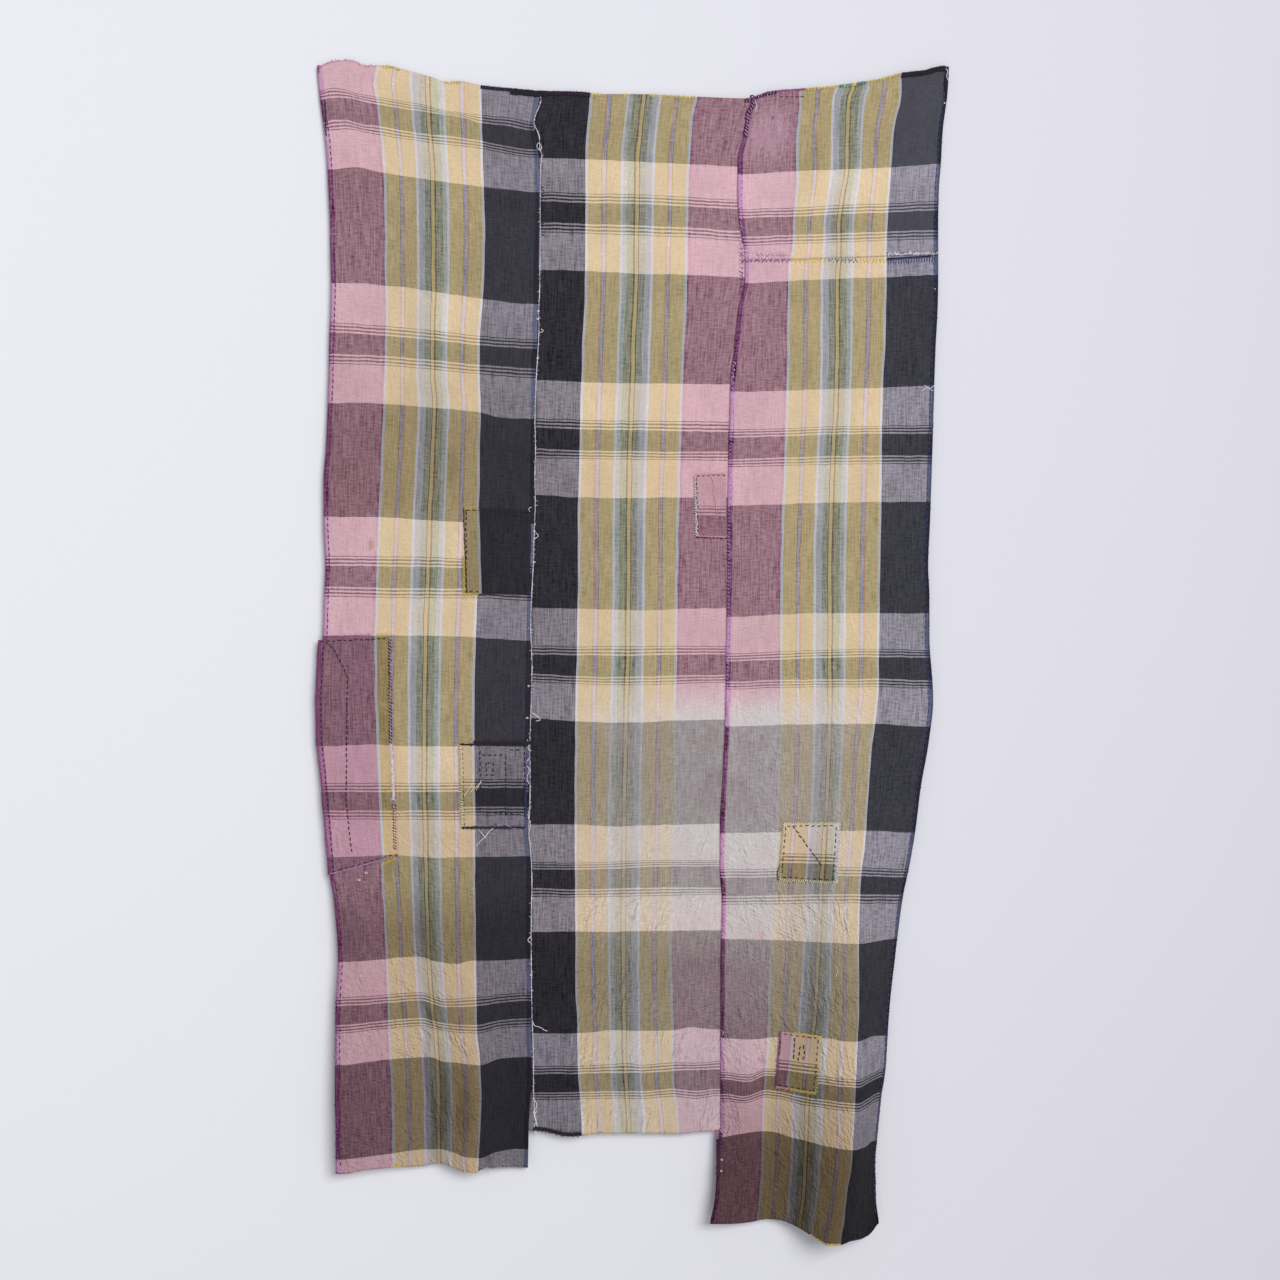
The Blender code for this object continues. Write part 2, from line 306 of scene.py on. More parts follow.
# Where a row of the weft runs across each length: v on the chart, then across and height along the row.
WEFT_RUNS = {
    "left": (
        (-184, ((-504, 67), (-448, 69), (-411, 58), (-325, 42), (-243, 29), (-158, 16))),
        (-124, (
            (-504, 6), (-482, 12), (-458, 9), (-442, 3), (-413, -1), (-384, -6), (-357, -11), (-334, -15),
            (-302, -24), (-277, -27), (-243, -31), (-200, -35), (-158, -42),
        )),
        (-108, (
            (-499, -6), (-482, -4), (-458, -4), (-435, -9), (-411, -14), (-382, -19), (-357, -23),
            (-334, -26), (-302, -31), (-270, -36), (-243, -44), (-200, -49), (-162, -56),
        )),
        (-73, (
            (-494, -44), (-482, -41), (-461, -40), (-446, -44), (-432, -48), (-408, -50), (-341, -62),
            (-302, -65), (-270, -70), (-250, -73), (-158, -88),
        )),
        (-57, ((-491, -58), (-461, -56), (-408, -65), (-328, -77), (-243, -87), (-157, -101))),
        (0, (
            (-488, -120), (-450, -116), (-402, -124), (-360, -131), (-325, -136), (-290, -141), (-242, -147),
            (-197, -152), (-154, -156),
        )),
        (176, (
            (-483, -300), (-453, -300), (-397, -304), (-360, -307), (-325, -313), (-290, -318), (-242, -325),
            (-155, -334),
        )),
        (236, ((-483, -363), (-397, -368), (-325, -375), (-242, -384), (-155, -390))),
        (303, ((-485, -431), (-397, -434), (-325, -440), (-242, -448), (-155, -454))),
        (360, ((-488, -493), (-450, -492), (-360, -497), (-290, -503), (-245, -508), (-208, -517), (-158, -518))),
        (536, ((-494, -674), (-408, -674), (-360, -677), (-290, -681), (-165, -685))),
        (596, ((-496, -736), (-453, -736), (-325, -738), (-242, -742), (-162, -749))),
        (663, ((-496, -803), (-453, -804), (-325, -806), (-242, -806), (-165, -810))),
        (720, ((-496, -865), (-325, -865), (-251, -868), (-165, -873))),
        (896, ((-506, -1041), (-414, -1038), (-366, -1041), (-280, -1041), (-168, -1041))),
        (956, ((-501, -1099), (-168, -1099))),
        (1023, ((-498, -1160), (-168, -1160))),
        (1080, ((-477, -1219), (-376, -1216), (-325, -1220), (-256, -1219), (-166, -1218))),
        (1256, (
            (-467, -1386), (-397, -1381), (-366, -1378), (-339, -1378), (-318, -1384), (-283, -1389),
            (-256, -1384), (-221, -1384), (-173, -1381),
        )),
        (1316, ((-474, -1442), (-397, -1438), (-341, -1434), (-299, -1445), (-253, -1442), (-173, -1435))),
        (1383, (
            (-474, -1502), (-394, -1494), (-341, -1490), (-299, -1498), (-253, -1502), (-213, -1494),
            (-173, -1491),
        )),
        (1440, (
            (-475, -1552), (-394, -1543), (-352, -1540), (-325, -1539), (-304, -1546), (-277, -1549),
            (-246, -1552), (-210, -1541), (-168, -1539),
        )),
        (1616, (
            (-469, -1702), (-429, -1698), (-387, -1692), (-339, -1686), (-310, -1685), (-290, -1690),
            (-262, -1699), (-246, -1700), (-221, -1690), (-186, -1685), (-168, -1686),
        )),
        (1676, ((-469, -1755), (-339, -1741), (-253, -1755), (-168, -1741))),
    ),
    "middle": (
        (0, ((-147, 80), (173, 66))),
        (176, ((-147, -100), (-77, -102), (8, -106), (91, -110), (173, -114))),
        (236, ((-147, -154), (-77, -156), (8, -158), (91, -162), (168, -166))),
        (303, ((-147, -221), (-77, -223), (8, -226), (91, -229), (168, -234))),
        (360, ((-147, -280), (-77, -282), (8, -286), (91, -288), (168, -291))),
        (536, ((-154, -455), (-83, -458), (-8, -460), (80, -461), (154, -462))),
        (596, ((-155, -516), (-83, -518), (-8, -520), (80, -520), (154, -522))),
        (612, ((-155, -531), (-83, -534), (-8, -535), (154, -538))),
        (647, ((-155, -566), (-86, -569), (-8, -570), (77, -571), (150, -571))),
        (663, ((-155, -582), (-86, -583), (-8, -584), (77, -585), (150, -586))),
        (720, ((-157, -640), (-86, -644), (-6, -645), (75, -644), (150, -644))),
        (896, ((-162, -819), (-88, -821), (-8, -823), (19, -824), (74, -821), (147, -820))),
        (956, ((-162, -879), (-90, -881), (-8, -880), (147, -880))),
        (972, ((-162, -894), (-90, -895), (-8, -896), (74, -894), (147, -894))),
        (1007, ((-162, -926), (-90, -930), (-8, -931), (74, -929), (146, -928))),
        (1023, ((-162, -940), (-91, -943), (-10, -945), (72, -943), (146, -941))),
        (1080, ((-163, -997), (-93, -1002), (-11, -1004), (70, -1001), (142, -999))),
        (1256, ((-166, -1166), (-94, -1166), (-32, -1169), (69, -1166), (141, -1165))),
        (1316, ((-163, -1226), (-93, -1227), (-42, -1226), (-13, -1224), (62, -1223), (136, -1223))),
        (1332, ((-162, -1238), (-93, -1238), (-42, -1237), (62, -1233), (138, -1233))),
        (1367, ((-162, -1269), (-93, -1271), (-13, -1269), (62, -1268), (139, -1268))),
        (1383, ((-162, -1283), (-93, -1284), (-10, -1283), (62, -1281), (139, -1280))),
        (1440, ((-162, -1339), (-93, -1338), (-42, -1339), (-13, -1338), (62, -1337), (139, -1336))),
        (1616, (
            (-158, -1500), (-90, -1500), (-32, -1495), (13, -1496), (62, -1495), (93, -1490), (109, -1492),
            (139, -1494),
        )),
        (1676, (
            (-158, -1552), (-91, -1552), (-35, -1549), (-13, -1547), (13, -1550), (62, -1546), (98, -1547),
            (139, -1544),
        )),
        (1692, ((-158, -1565), (-88, -1565), (-35, -1563), (13, -1563), (64, -1560), (139, -1558))),
        (1727, (
            (-157, -1596), (-86, -1595), (-32, -1594), (14, -1594), (62, -1590), (98, -1593), (139, -1590),
        )),
        (1743, (
            (-155, -1608), (-86, -1607), (-32, -1606), (14, -1607), (62, -1603), (98, -1606), (139, -1602),
        )),
        (1790, ((-158, -1674), (139, -1669))),
    ),
    "right": (
        (0, ((173, 53), (488, 70))),
        (176, ((173, -126), (219, -124), (259, -121), (341, -118), (411, -115), (488, -110))),
        (236, ((170, -182), (219, -180), (259, -179), (331, -175), (408, -172), (488, -169))),
        (303, ((174, -242), (259, -239), (331, -237), (408, -234), (486, -232))),
        (360, ((171, -301), (246, -298), (326, -294), (405, -292), (488, -288))),
        (536, ((165, -474), (243, -472), (323, -469), (398, -467), (482, -464))),
        (596, ((157, -534), (242, -532), (326, -529), (398, -528), (477, -527))),
        (612, ((157, -547), (242, -545), (326, -542), (398, -541), (477, -541))),
        (647, ((157, -583), (242, -580), (326, -578), (398, -577), (477, -577))),
        (663, ((157, -596), (242, -594), (326, -592), (477, -591))),
        (720, ((152, -657), (237, -655), (326, -652), (475, -651))),
        (896, ((152, -834), (235, -830), (314, -828), (472, -828))),
        (956, ((150, -892), (235, -889), (317, -886), (394, -885), (475, -887))),
        (972, ((150, -905), (235, -902), (317, -899), (394, -898), (474, -899))),
        (1007, ((150, -939), (235, -936), (317, -935), (394, -934), (477, -937))),
        (1023, ((150, -952), (235, -949), (317, -948), (394, -948), (477, -950))),
        (1080, ((149, -1010), (230, -1008), (315, -1006), (387, -1006), (475, -1011))),
        (1256, ((142, -1180), (230, -1178), (309, -1177), (373, -1176), (446, -1179))),
        (1316, ((142, -1237), (230, -1236), (309, -1234), (366, -1234), (435, -1237))),
        (1383, ((142, -1296), (230, -1295), (304, -1294), (363, -1294), (427, -1294))),
        (1440, ((147, -1350), (235, -1352), (307, -1356), (358, -1358), (419, -1350))),
        (1616, (
            (147, -1508), (187, -1510), (227, -1506), (307, -1508), (355, -1514), (387, -1504), (403, -1504),
        )),
        (1676, (
            (142, -1562), (186, -1566), (213, -1556), (251, -1558), (304, -1568), (357, -1574), (402, -1557),
        )),
        (1743, (
            (142, -1610), (176, -1613), (213, -1604), (235, -1607), (270, -1616), (304, -1621), (357, -1627),
            (394, -1609),
        )),
        (1800, (
            (133, -1670), (146, -1667), (203, -1658), (226, -1659), (258, -1669), (282, -1674), (302, -1680),
            (325, -1685), (347, -1688), (370, -1683), (381, -1674), (389, -1673),
        )),
        (1976, ((120, -1832), (203, -1818), (258, -1829), (325, -1845), (347, -1848), (389, -1834))),
    ),
}


def follow(keys, values, key, level_ends=True):
    """Values at keys in a table, along the smooth curve that never overshoots. All have one column a place."""
    keys = np.atleast_2d(np.asarray(keys, float))
    values = np.atleast_2d(np.asarray(values, float))
    keys = keys.T if keys.shape[0] == 1 else keys
    values = values.T if values.shape[0] == 1 else values
    if keys[0, 0] > keys[-1, 0]:
        keys, values = keys[::-1], values[::-1]
    key = np.asarray(key, float)
    wide = (keys.shape[0], key.size)
    keys, values = np.broadcast_to(keys, wide), np.broadcast_to(values, wide)
    spans = np.diff(keys, axis=0)
    slopes = np.diff(values, axis=0) / spans
    before, after = slopes[:-1], slopes[1:]
    together = before * after
    total = np.where(together > 0.0, before + after, 1.0)
    inner = np.where(together > 0.0, 2.0 * together / total, 0.0)
    ends = 0.0 if level_ends else 1.0
    slopes = np.concatenate((slopes[:1] * ends, inner, slopes[-1:] * ends))
    place = np.clip((keys[1:-1] <= key).sum(axis=0), 0, wide[0] - 2)
    here = np.arange(key.size)
    span = spans[place, here]
    t = np.clip((key - keys[place, here]) / span, 0.0, 1.0)
    return (
        values[place, here] * (1.0 + 2.0 * t) * (1.0 - t) ** 2
        + slopes[place, here] * span * t * (1.0 - t) ** 2
        + values[place + 1, here] * t * t * (3.0 - 2.0 * t)
        - slopes[place + 1, here] * span * t * t * (1.0 - t)
    )


def column_of(table, column, key):
    """One column of a table of rows, read at each key."""
    rows = np.asarray(table, float)
    return follow(rows[:, 0], rows[:, column], key)


def eased(share):
    """A soft step from 0 to 1."""
    share = np.clip(share, 0.0, 1.0)
    return share * share * (3.0 - 2.0 * share)


def ripple(x, z, wide, high, seed):
    """Soft uneven relief between -1 and 1, in lumps of about the given width and height."""
    table = np.random.default_rng(seed).uniform(-1.0, 1.0, (64, 64))
    across, down = x / wide, z / high
    i, j = np.floor(across).astype(int), np.floor(down).astype(int)
    s, t = eased(across - i), eased(down - j)
    i, j = i % 63, j % 63
    upper = table[i, j] * (1.0 - s) + table[i + 1, j] * s
    lower = table[i, j + 1] * (1.0 - s) + table[i + 1, j + 1] * s
    return upper * (1.0 - t) + lower * t


def fold_rise(stations, x, z):
    """How far one fold lifts the cloth."""
    aside = x - column_of(stations, 1, z)
    left, right = column_of(stations, 2, z), column_of(stations, 3, z)
    flank = np.where(aside < 0.0, left, right)
    inside = (z <= stations[0][0]) & (z >= stations[-1][0] - LAST_STEP)
    return np.where(inside, column_of(stations, 4, z) * (1.0 - eased(np.abs(aside) / flank)), 0.0)


def crease_rise(crease, x, z):
    """How far one crease lifts the cloth: a soft ridge or trough along a line of points."""
    width, rise, points = crease
    points = np.asarray(points, float)
    nearest = np.full(x.size, 1e9)
    along = np.zeros(x.size)
    total = len(points) - 1
    for index in range(total):
        start, end = points[index], points[index + 1]
        run = end - start
        share = ((x - start[0]) * run[0] + (z - start[1]) * run[1]) / (run @ run)
        share = np.clip(share, 0.0, 1.0)
        off = np.hypot(x - start[0] - run[0] * share, z - start[1] - run[1] * share)
        closer = off < nearest
        nearest = np.where(closer, off, nearest)
        along = np.where(closer, (index + share) / total, along)
    taper = eased(np.minimum(along, 1.0 - along) * 4.0 + 0.25)
    return rise * taper * (1.0 - eased(nearest / width))


# Crinkles all over: lean of x by height, lean of height by x, width, height, seed, rise, least share of the rise.
CRINKLES = (
    (0.35, -0.2, 46.0, 95.0, 3, 1.0, 0.0),
    (-0.55, 0.3, 24.0, 52.0, 5, 1.1, 0.0),
    (0.4, 0.0, 17.0, 22.0, 8, 0.75, 0.15),
)
# How slack the cloth hangs: distances below the origin, share of the crinkles' rise.
SLACK_AT, SLACK = (0.0, 900.0, 1250.0, 1700.0), (0.35, 0.3, 0.6, 1.0)


def relief(x, z):
    """The creases and crinkles on the folds, stronger low down where the cloth is slack."""
    slack = np.interp(-z, SLACK_AT, SLACK)
    rise = np.zeros(x.size)
    for lean_x, lean_z, wide, high, seed, most, least in CRINKLES:
        rise += (least + slack) * most * ripple(x + lean_x * z, z + lean_z * x, wide, high, seed)
    for crease in CREASES:
        rise += crease_rise(crease, x, z)
    return rise


def wall_distance(x, z):
    """How far the back of the cloth stands off the wall, on the folds of the solids."""
    distance = column_of(WALL_DISTANCE, 1, z)
    for stations in FOLDS:
        distance = distance + fold_rise(stations, x, z)
    return distance


def lay(x, z, lift):
    """Points that lie a lift above the back of the cloth, square to its slope, in metres."""
    reach = SLOPE_REACH
    across = wall_distance(x + reach, z) - wall_distance(x - reach, z)
    down = wall_distance(x, z + reach) - wall_distance(x, z - reach)
    long = np.sqrt(across**2 + down**2 + 4.0 * reach * reach)
    lift = lift + relief(x, z)
    y = -wall_distance(x, z) - 2.0 * reach / long * lift
    nearer = 1.0 + y / EYE_DISTANCE
    px = EYE_X + (x - across / long * lift - EYE_X) * nearer
    pz = EYE_HEIGHT + (z - down / long * lift - EYE_HEIGHT) * nearer
    return np.stack((px, y, pz), axis=1) * MM


def weft_at(length, x, z):
    """The weft's place on the chart, v, of places on one length."""
    rows = WEFT_RUNS[length]
    heights = np.stack([column_of(points, 1, x) for _, points in rows])
    places = np.array([[v] for v, _ in rows], float)
    return follow(-heights, places, -z, level_ends=False)


def runs_at(length, z):
    """The u of each stripe that was followed down a length, and where it lies at each height."""
    runs = STRIPE_RUNS[length]
    half = SEAM_GAP / 2.0
    inner = [(u, column_of(run, 1, z)) for u, run in runs.items()]
    if length == "left":
        ends = [(0, column_of(UPRIGHTS, LEFT_EDGE, z)), (CHART_WIDE, column_of(UPRIGHTS, SEAM_ONE, z) - half)]
    elif length == "middle":
        # It is turned round, and its pink side is tucked behind the right-hand length.
        tuck = column_of(UPRIGHTS, SEAM_TWO, z)
        ends = [(MIDDLE_FROM, tuck + LAP), (MIDDLE_FROM + LAP, tuck)]
        ends.append((MIDDLE_TO, column_of(UPRIGHTS, SEAM_ONE, z) + half))
    else:
        ends = [(0, column_of(UPRIGHTS, SEAM_TWO, z)), (CHART_WIDE, column_of(UPRIGHTS, RIGHT_EDGE, z))]
    runs = sorted(inner + ends, key=lambda run: run[0])
    return np.array([[u] for u, _ in runs], float), np.stack([x for _, x in runs])


def across_at(length, u, z):
    """Where the warp's place u lies across the wall, at each height."""
    places, runs = runs_at(length, z)
    return follow(places, runs, u, level_ends=False)


def grid_mesh(name, columns, rows, points, weave):
    """A sheet from a bmesh grid: points and chart places of columns + 1 by rows + 1, row by row from the top."""
    bm = bmesh.new()
    bmesh.ops.create_grid(bm, x_segments=columns, y_segments=rows, size=1.0)
    mesh = bpy.data.meshes.new(name)
    bm.to_mesh(mesh)
    bm.free()
    flat = np.empty(len(mesh.vertices) * 3)
    mesh.vertices.foreach_get("co", flat)
    flat = flat.reshape(-1, 3)
    column = np.rint((flat[:, 0] + 1.0) / 2.0 * columns).astype(int)
    row = np.rint((1.0 - flat[:, 1]) / 2.0 * rows).astype(int)
    index = row * (columns + 1) + column
    mesh.vertices.foreach_set("co", points[index].ravel())
    corners = np.empty(len(mesh.loops), int)
    mesh.loops.foreach_get("vertex_index", corners)
    layer = mesh.uv_layers.new(name="weave")
    layer.uv.foreach_set("vector", (weave[index][corners] * MM).ravel())
    mesh.update()
    mesh.shade_smooth()
    return mesh


def cloth_piece(name, mesh, thickness, material):
    """A finished sheet of cloth that stands for its solid."""
    piece = bpy.data.objects.new(name + "_cloth", mesh)
    bpy.context.scene.collection.objects.link(piece)
    mesh.materials.append(material)
    solid = piece.modifiers.new("thickness", "SOLIDIFY")
    solid.thickness = thickness * MM
    solid.offset = 1.0
    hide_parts(name)
    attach(piece, "root")


def length_mesh(name, length, top, hem, top_shift=0.0, hem_shift=0.0):
    """One length of cloth between two level edges, woven on the chart."""
    low, high = (MIDDLE_FROM, MIDDLE_TO) if length == "middle" else (0.0, CHART_WIDE)
    columns = round((high - low) / CELL_WIDE)
    u = np.linspace(low, high, columns + 1)
    if length == "middle":
        u = u[::-1]

    def on_outline(table, shift, z):
        """Heights where each u meets a level edge, found in a few steps because a u leans as it runs down."""
        z = np.full(u.size, z)
        for _ in range(5):
            z = column_of(table, 1, across_at(length, u, z)) + shift
        return z

    tops, hems = on_outline(top, top_shift, SEARCH_TOP), on_outline(hem, hem_shift, SEARCH_HEM)
    rows = round((tops - hems).max() / CELL_HIGH)
    share = np.linspace(0.0, 1.0, rows + 1)[:, None]
    z = (tops + (hems - tops) * share).ravel()
    u = np.tile(u, rows + 1)
    x = across_at(length, u, z)
    lift = np.zeros(x.size)
    seam = column_of(UPRIGHTS, SEAM_TWO, z)
    if length == "middle":
        lift = -LAP_STEP * eased((x - seam + 1.0 + LAP_EASE) / LAP_EASE)
    elif length == "right":
        lift = LAP_STEP * (1.0 - eased((x - seam - LAP - 1.0) / LAP_EASE))
    weave = np.stack((u, weft_at(length, x, z)), axis=1)
    return grid_mesh(name, columns, rows, lay(x, z, lift), weave)


def patch_mesh(name, window):
    """One patch between its stations. The window is its chart places: left u, top v, right u, bottom v.

    With no window, its bands run on from those of the left-hand length under it, and u is its own.
    """
    stations = np.asarray(PATCHES[name], float)
    wide = stations[0, 2] - stations[0, 0]
    tall = stations[0, 1] - stations[-1, 1]
    columns, rows = round(wide / PATCH_CELL), round(tall / PATCH_CELL)
    gaps = len(stations) - 1
    s = np.tile(np.linspace(0.0, 1.0, columns + 1), rows + 1)
    t = np.repeat(np.linspace(0.0, 1.0, rows + 1), columns + 1)
    index = np.minimum((t * gaps).astype(int), gaps - 1)
    part = (t * gaps - index)[:, None]
    ends = stations[index] * (1.0 - part) + stations[index + 1] * part
    x = ends[:, 0] + (ends[:, 2] - ends[:, 0]) * s
    z = ends[:, 1] + (ends[:, 3] - ends[:, 1]) * s
    # The edges are cut by eye, so they waver a little.
    waver = ripple(z, x, 14.0, 14.0, 21) * 0.7
    x = x + waver * np.abs(2.0 * s - 1.0) ** 6
    z = z + waver * np.abs(2.0 * t - 1.0) ** 6
    if window is None:
        weave = np.stack((MAUVE_WARP[-1][0] * s, weft_at("left", x, z)), axis=1)
    else:
        u_left, v_top, u_right, v_bottom = window
        weave = np.stack((u_left + (u_right - u_left) * s, v_top + (v_bottom - v_top) * t), axis=1)
    return grid_mesh(name, columns, rows, lay(x, z, np.full(x.size, CLOTH + LAYER_GAP)), weave)


# Creases pressed or crumpled into the cloth: half width, rise (a trough is below 0), then points along it.
CREASES = (
    (9, 1.6, ((-450, -1264), (-434, -1312), (-410, -1352))),
    (7, 1.2, ((-413, -1264), (-406, -1296), (-402, -1320))),
    (8, 1.3, ((-453, -1272), (-443, -1304), (-429, -1328))),
    (13, 4.6, ((-349, -1432), (-317, -1464), (-325, -1552), (-301, -1690))),
    (7, 1.4, ((-333, -1448), (-301, -1496))),
    (7, 1.5, ((-197, -1672), (-178, -1640))),
    (9, -1.2, ((-221, -592), (-194, -619), (-165, -648))),
    (7, 1.5, ((11, -1459), (43, -1467), (67, -1464))),
    (7, 1.5, ((75, -1467), (104, -1472), (131, -1480))),
    (6, 1.0, ((-29, -1344), (-34, -1371))),
    (8, 1.6, ((67, -1592), (102, -1619), (131, -1640))),
    (8, 1.4, ((-149, -1616), (-122, -1624), (-93, -1640))),
    (10, 1.6, ((82, -1486), (93, -1490), (107, -1486))),
    (10, -2.0, ((150, -1432), (163, -1464), (179, -1502))),
    (8, 1.6, ((219, -1432), (227, -1488))),
    (7, -1.2, ((248, -1464), (299, -1472))),
    (7, 1.4, ((323, -1392), (331, -1424))),
    (7, 2.6, ((144, -1797), (176, -1786), (214, -1768), (250, -1752), (275, -1757), (299, -1762))),
    (7, -1.8, ((246, -1458), (262, -1468), (285, -1470), (304, -1466))),
    (7, 1.5, ((195, -1723), (235, -1728))),
    (8, -1.6, ((211, -1680), (235, -1712))),
    (7, 1.6, ((315, -1696), (325, -1728), (334, -1760))),
    (7, 1.4, ((291, -1688), (302, -1723))),
    (7, -1.5, ((259, -1704), (267, -1723))),
    (6, 1.3, ((171, -1736), (190, -1762))),
    (7, 1.3, ((347, -1608), (339, -1656))),
    (7, -1.3, ((366, -1616), (360, -1672))),
    (6, 1.0, ((-69, -1568), (-53, -1600))),
    (6, -1.0, ((-117, -1544), (-93, -1576))),
    (6, 1.0, ((27, -1544), (46, -1584))),
    (6, 0.9, ((101, -25), (178, -25))),
    (5, 0.6, ((-61, -14), (19, -14))),
    (6, 0.9, ((208, -14), (272, -14), (323, -2))),
)

# The warp from the pink selvedge: where each stripe ends (u), its colour under light weft and under dark weft.
SELVEDGE = ("BC94AA", "8C6278")
BLACK_WARP = ("807A84", "2E2D34")
WARP = (
    (7, *SELVEDGE),
    (84, "CFA9B1", "8F6D77"),
    (87, "CCA2AC", "886272"),
    (91.3, "CDC8C9", "9FA2A9"),
    (111.6, "D6BF9B", "A2936E"),
    (113, "C8A88C", "857760"),
    (118, "CDC2C4", "8E8996"),
    (119.7, "D6B296", "9C8068"),
    (139.8, "D6BF9B", "A2936E"),
    (143.5, "D2CCD2", "ACADB6"),
    (152.3, "C6BEB8", "909295"),
    (161.8, "C1B9A8", "7E7F72"),
    (163.8, "9E9082", "58524C"),
    (168.4, "D0BA94", "A3966C"),
    (171, "A8987E", "6A5D50"),
    (182.4, "C2BBA3", "80816F"),
    (187.7, "CAC5BC", "8F9490"),
    (192.5, "D2CDD0", "A6AAAE"),
    (214.8, "D6BF9B", "A2936E"),
    (216.1, "C8A88C", "857760"),
    (221.6, "CDC2C4", "8E8996"),
    (223.2, "D6B296", "9C8068"),
    (244.3, "D6BF9B", "A2936E"),
    (248.8, "D3CECD", "A2A2A6"),
    (327.5, *BLACK_WARP),
    (336, "5C6078", "25252F"),
)
BLACK_FROM = 248.8
# The tall patch's own warp, whose dyes have run: as for the lengths.
MAUVE_WARP = (
    (10.5, "A0708F", "744A66"),
    (87, "BA909E", "7F5D69"),
    (91.3, "B9BCC0", "96999E"),
    (112, "C6AC82", "8B7B55"),
)

# The weft's repeat: where each change falls (v), and whether the weft from there on is the dark one.
REPEAT = 360.0
WEFT = (
    (0, 1),
    (176, 0),
    (236.8, 1),
    (238.8, 0),
    (241.6, 1),
    (243.8, 0),
    (246.4, 1),
    (249.8, 0),
    (252, 1),
    (286.6, 0),
    (289, 1),
    (292.4, 0),
    (295, 1),
    (297.4, 0),
    (300.2, 1),
    (302.2, 0),
)

# How wear, soiling and painted shade, darker towards the hem, change a length on its way down: v, tint of its light
# weft, tint of its dark weft, fading.
TONE_TOP, TONE_BOTTOM = -200.0, 2000.0
TONES = {
    "left": (
        (-200, "FFFFFF", "FFFFFF", 0.0),
        (269, "FDFDFD", "FDFDFD", 0.0),
        (331, "F3F2F0", "F4F4F4", 0.0),
        (410, "F6F6F6", "E7E4E4", 0.0),
        (500, "FFFFFF", "ECE9E6", 0.0),
        (620, "FFFFFF", "FFFFFF", 0.0),
        (926, "FDFDFD", "FFFFFF", 0.0),
        (990, "FAF8F8", "F0EEEE", 0.0),
        (1051, "EEEBEB", "F2F0F0", 0.0),
        (1130, "F2F2F2", "EFEFEF", 0.0),
        (1210, "E8E8E8", "CCC8CA", 0.0),
        (1286, "E6E2E4", "D4D0D2", 0.0),
        (1349, "E6E2E4", "D8D2D4", 0.0),
        (1411, "E4E2E4", "C8C4C6", 0.0),
        (1490, "E0DEE0", "C2BCC0", 0.0),
        (2000, "D8D4D6", "B8B2B8", 0.0),
    ),
    "middle": (
        (200, "FFFFFF", "FFFFFF", 0.0),
        (269, "FFFFFF", "FFFFFF", 0.1),
        (330, "FFFFFF", "FFFFFF", 0.0),
        (600, "FFFFFF", "FAFAFA", 0.0),
        (650, "FCFAFA", "F6F6F4", 0.0),
        (691, "FCFAFA", "FFFFFF", 0.0),
        (926, "F6F6F6", "FFFFFF", 0.0),
        (1025, "FAFAFA", "FFFFFF", 0.0),
        (1075, "FFFFFF", "F8F8F6", 1.0),
        (1210, "FAFAFA", "F6F6F4", 1.0),
        (1349, "FCFAF8", "FCFCFA", 1.0),
        (1420, "FFFDFA", "F6F6F4", 0.95),
        (1500, "FAFAFA", "E2E2E0", 0.55),
        (1590, "F6F6F6", "E6E6E8", 0.4),
        (1646, "F2F4F6", "E6E6E8", 0.3),
        (2000, "E6E4E4", "D8D8D8", 0.25),
    ),
    "right": (
        (130, "FFFFFF", "FFFFFF", 0.0),
        (269, "FFFFFF", "FFFFFF", 0.08),
        (331, "FAF8FC", "FFFFFF", 0.0),
        (566, "F9F9F9", "FFFFFF", 0.0),
        (926, "F6F8F6", "FFFFFF", 0.0),
        (1022, "FAFAFA", "FFFFFF", 0.0),
        (1062, "FDFDFD", "FFFFFF", 1.0),
        (1349, "F9F8F8", "FCFCFC", 1.0),
        (1411, "F8F6F4", "F4F4F4", 1.0),
        (1490, "F4F2F2", "E8E8E8", 0.75),
        (1570, "F4F2F4", "E0E0E2", 0.5),
        (1646, "F0F0F2", "DAD8DA", 0.25),
        (1710, "E6E4E6", "BEB8BA", 0.1),
        (1771, "D6D4D6", "ACA4A4", 0.0),
        (1850, "CCC8C8", "9C9492", 0.0),
        (2000, "C8C4C4", "9C9492", 0.0),
    ),
}
# Each length was dyed a little differently: its pink selvedge and its black warp, under light and dark weft. The
# right-hand length's black is drawn lighter under light weft, and its top piece's under dark weft too: painted sheen
# from the light at the right.
DYE_LOTS_AND_SHEEN = {
    "left": (("C394B4", "7E4C70"), ("807B84", "34333B")),
    "middle": (("BC94AA", "8C6278"), ("827C85", "28272D")),
    "right": (("C48FB6", "6E4064"), ("8C8892", "34343B")),
    # The top piece's black under dark weft is lighter than the length below it: painted sheen.
    "right_top": (("C48FB6", "6E4064"), ("8C8892", "43434C")),
}
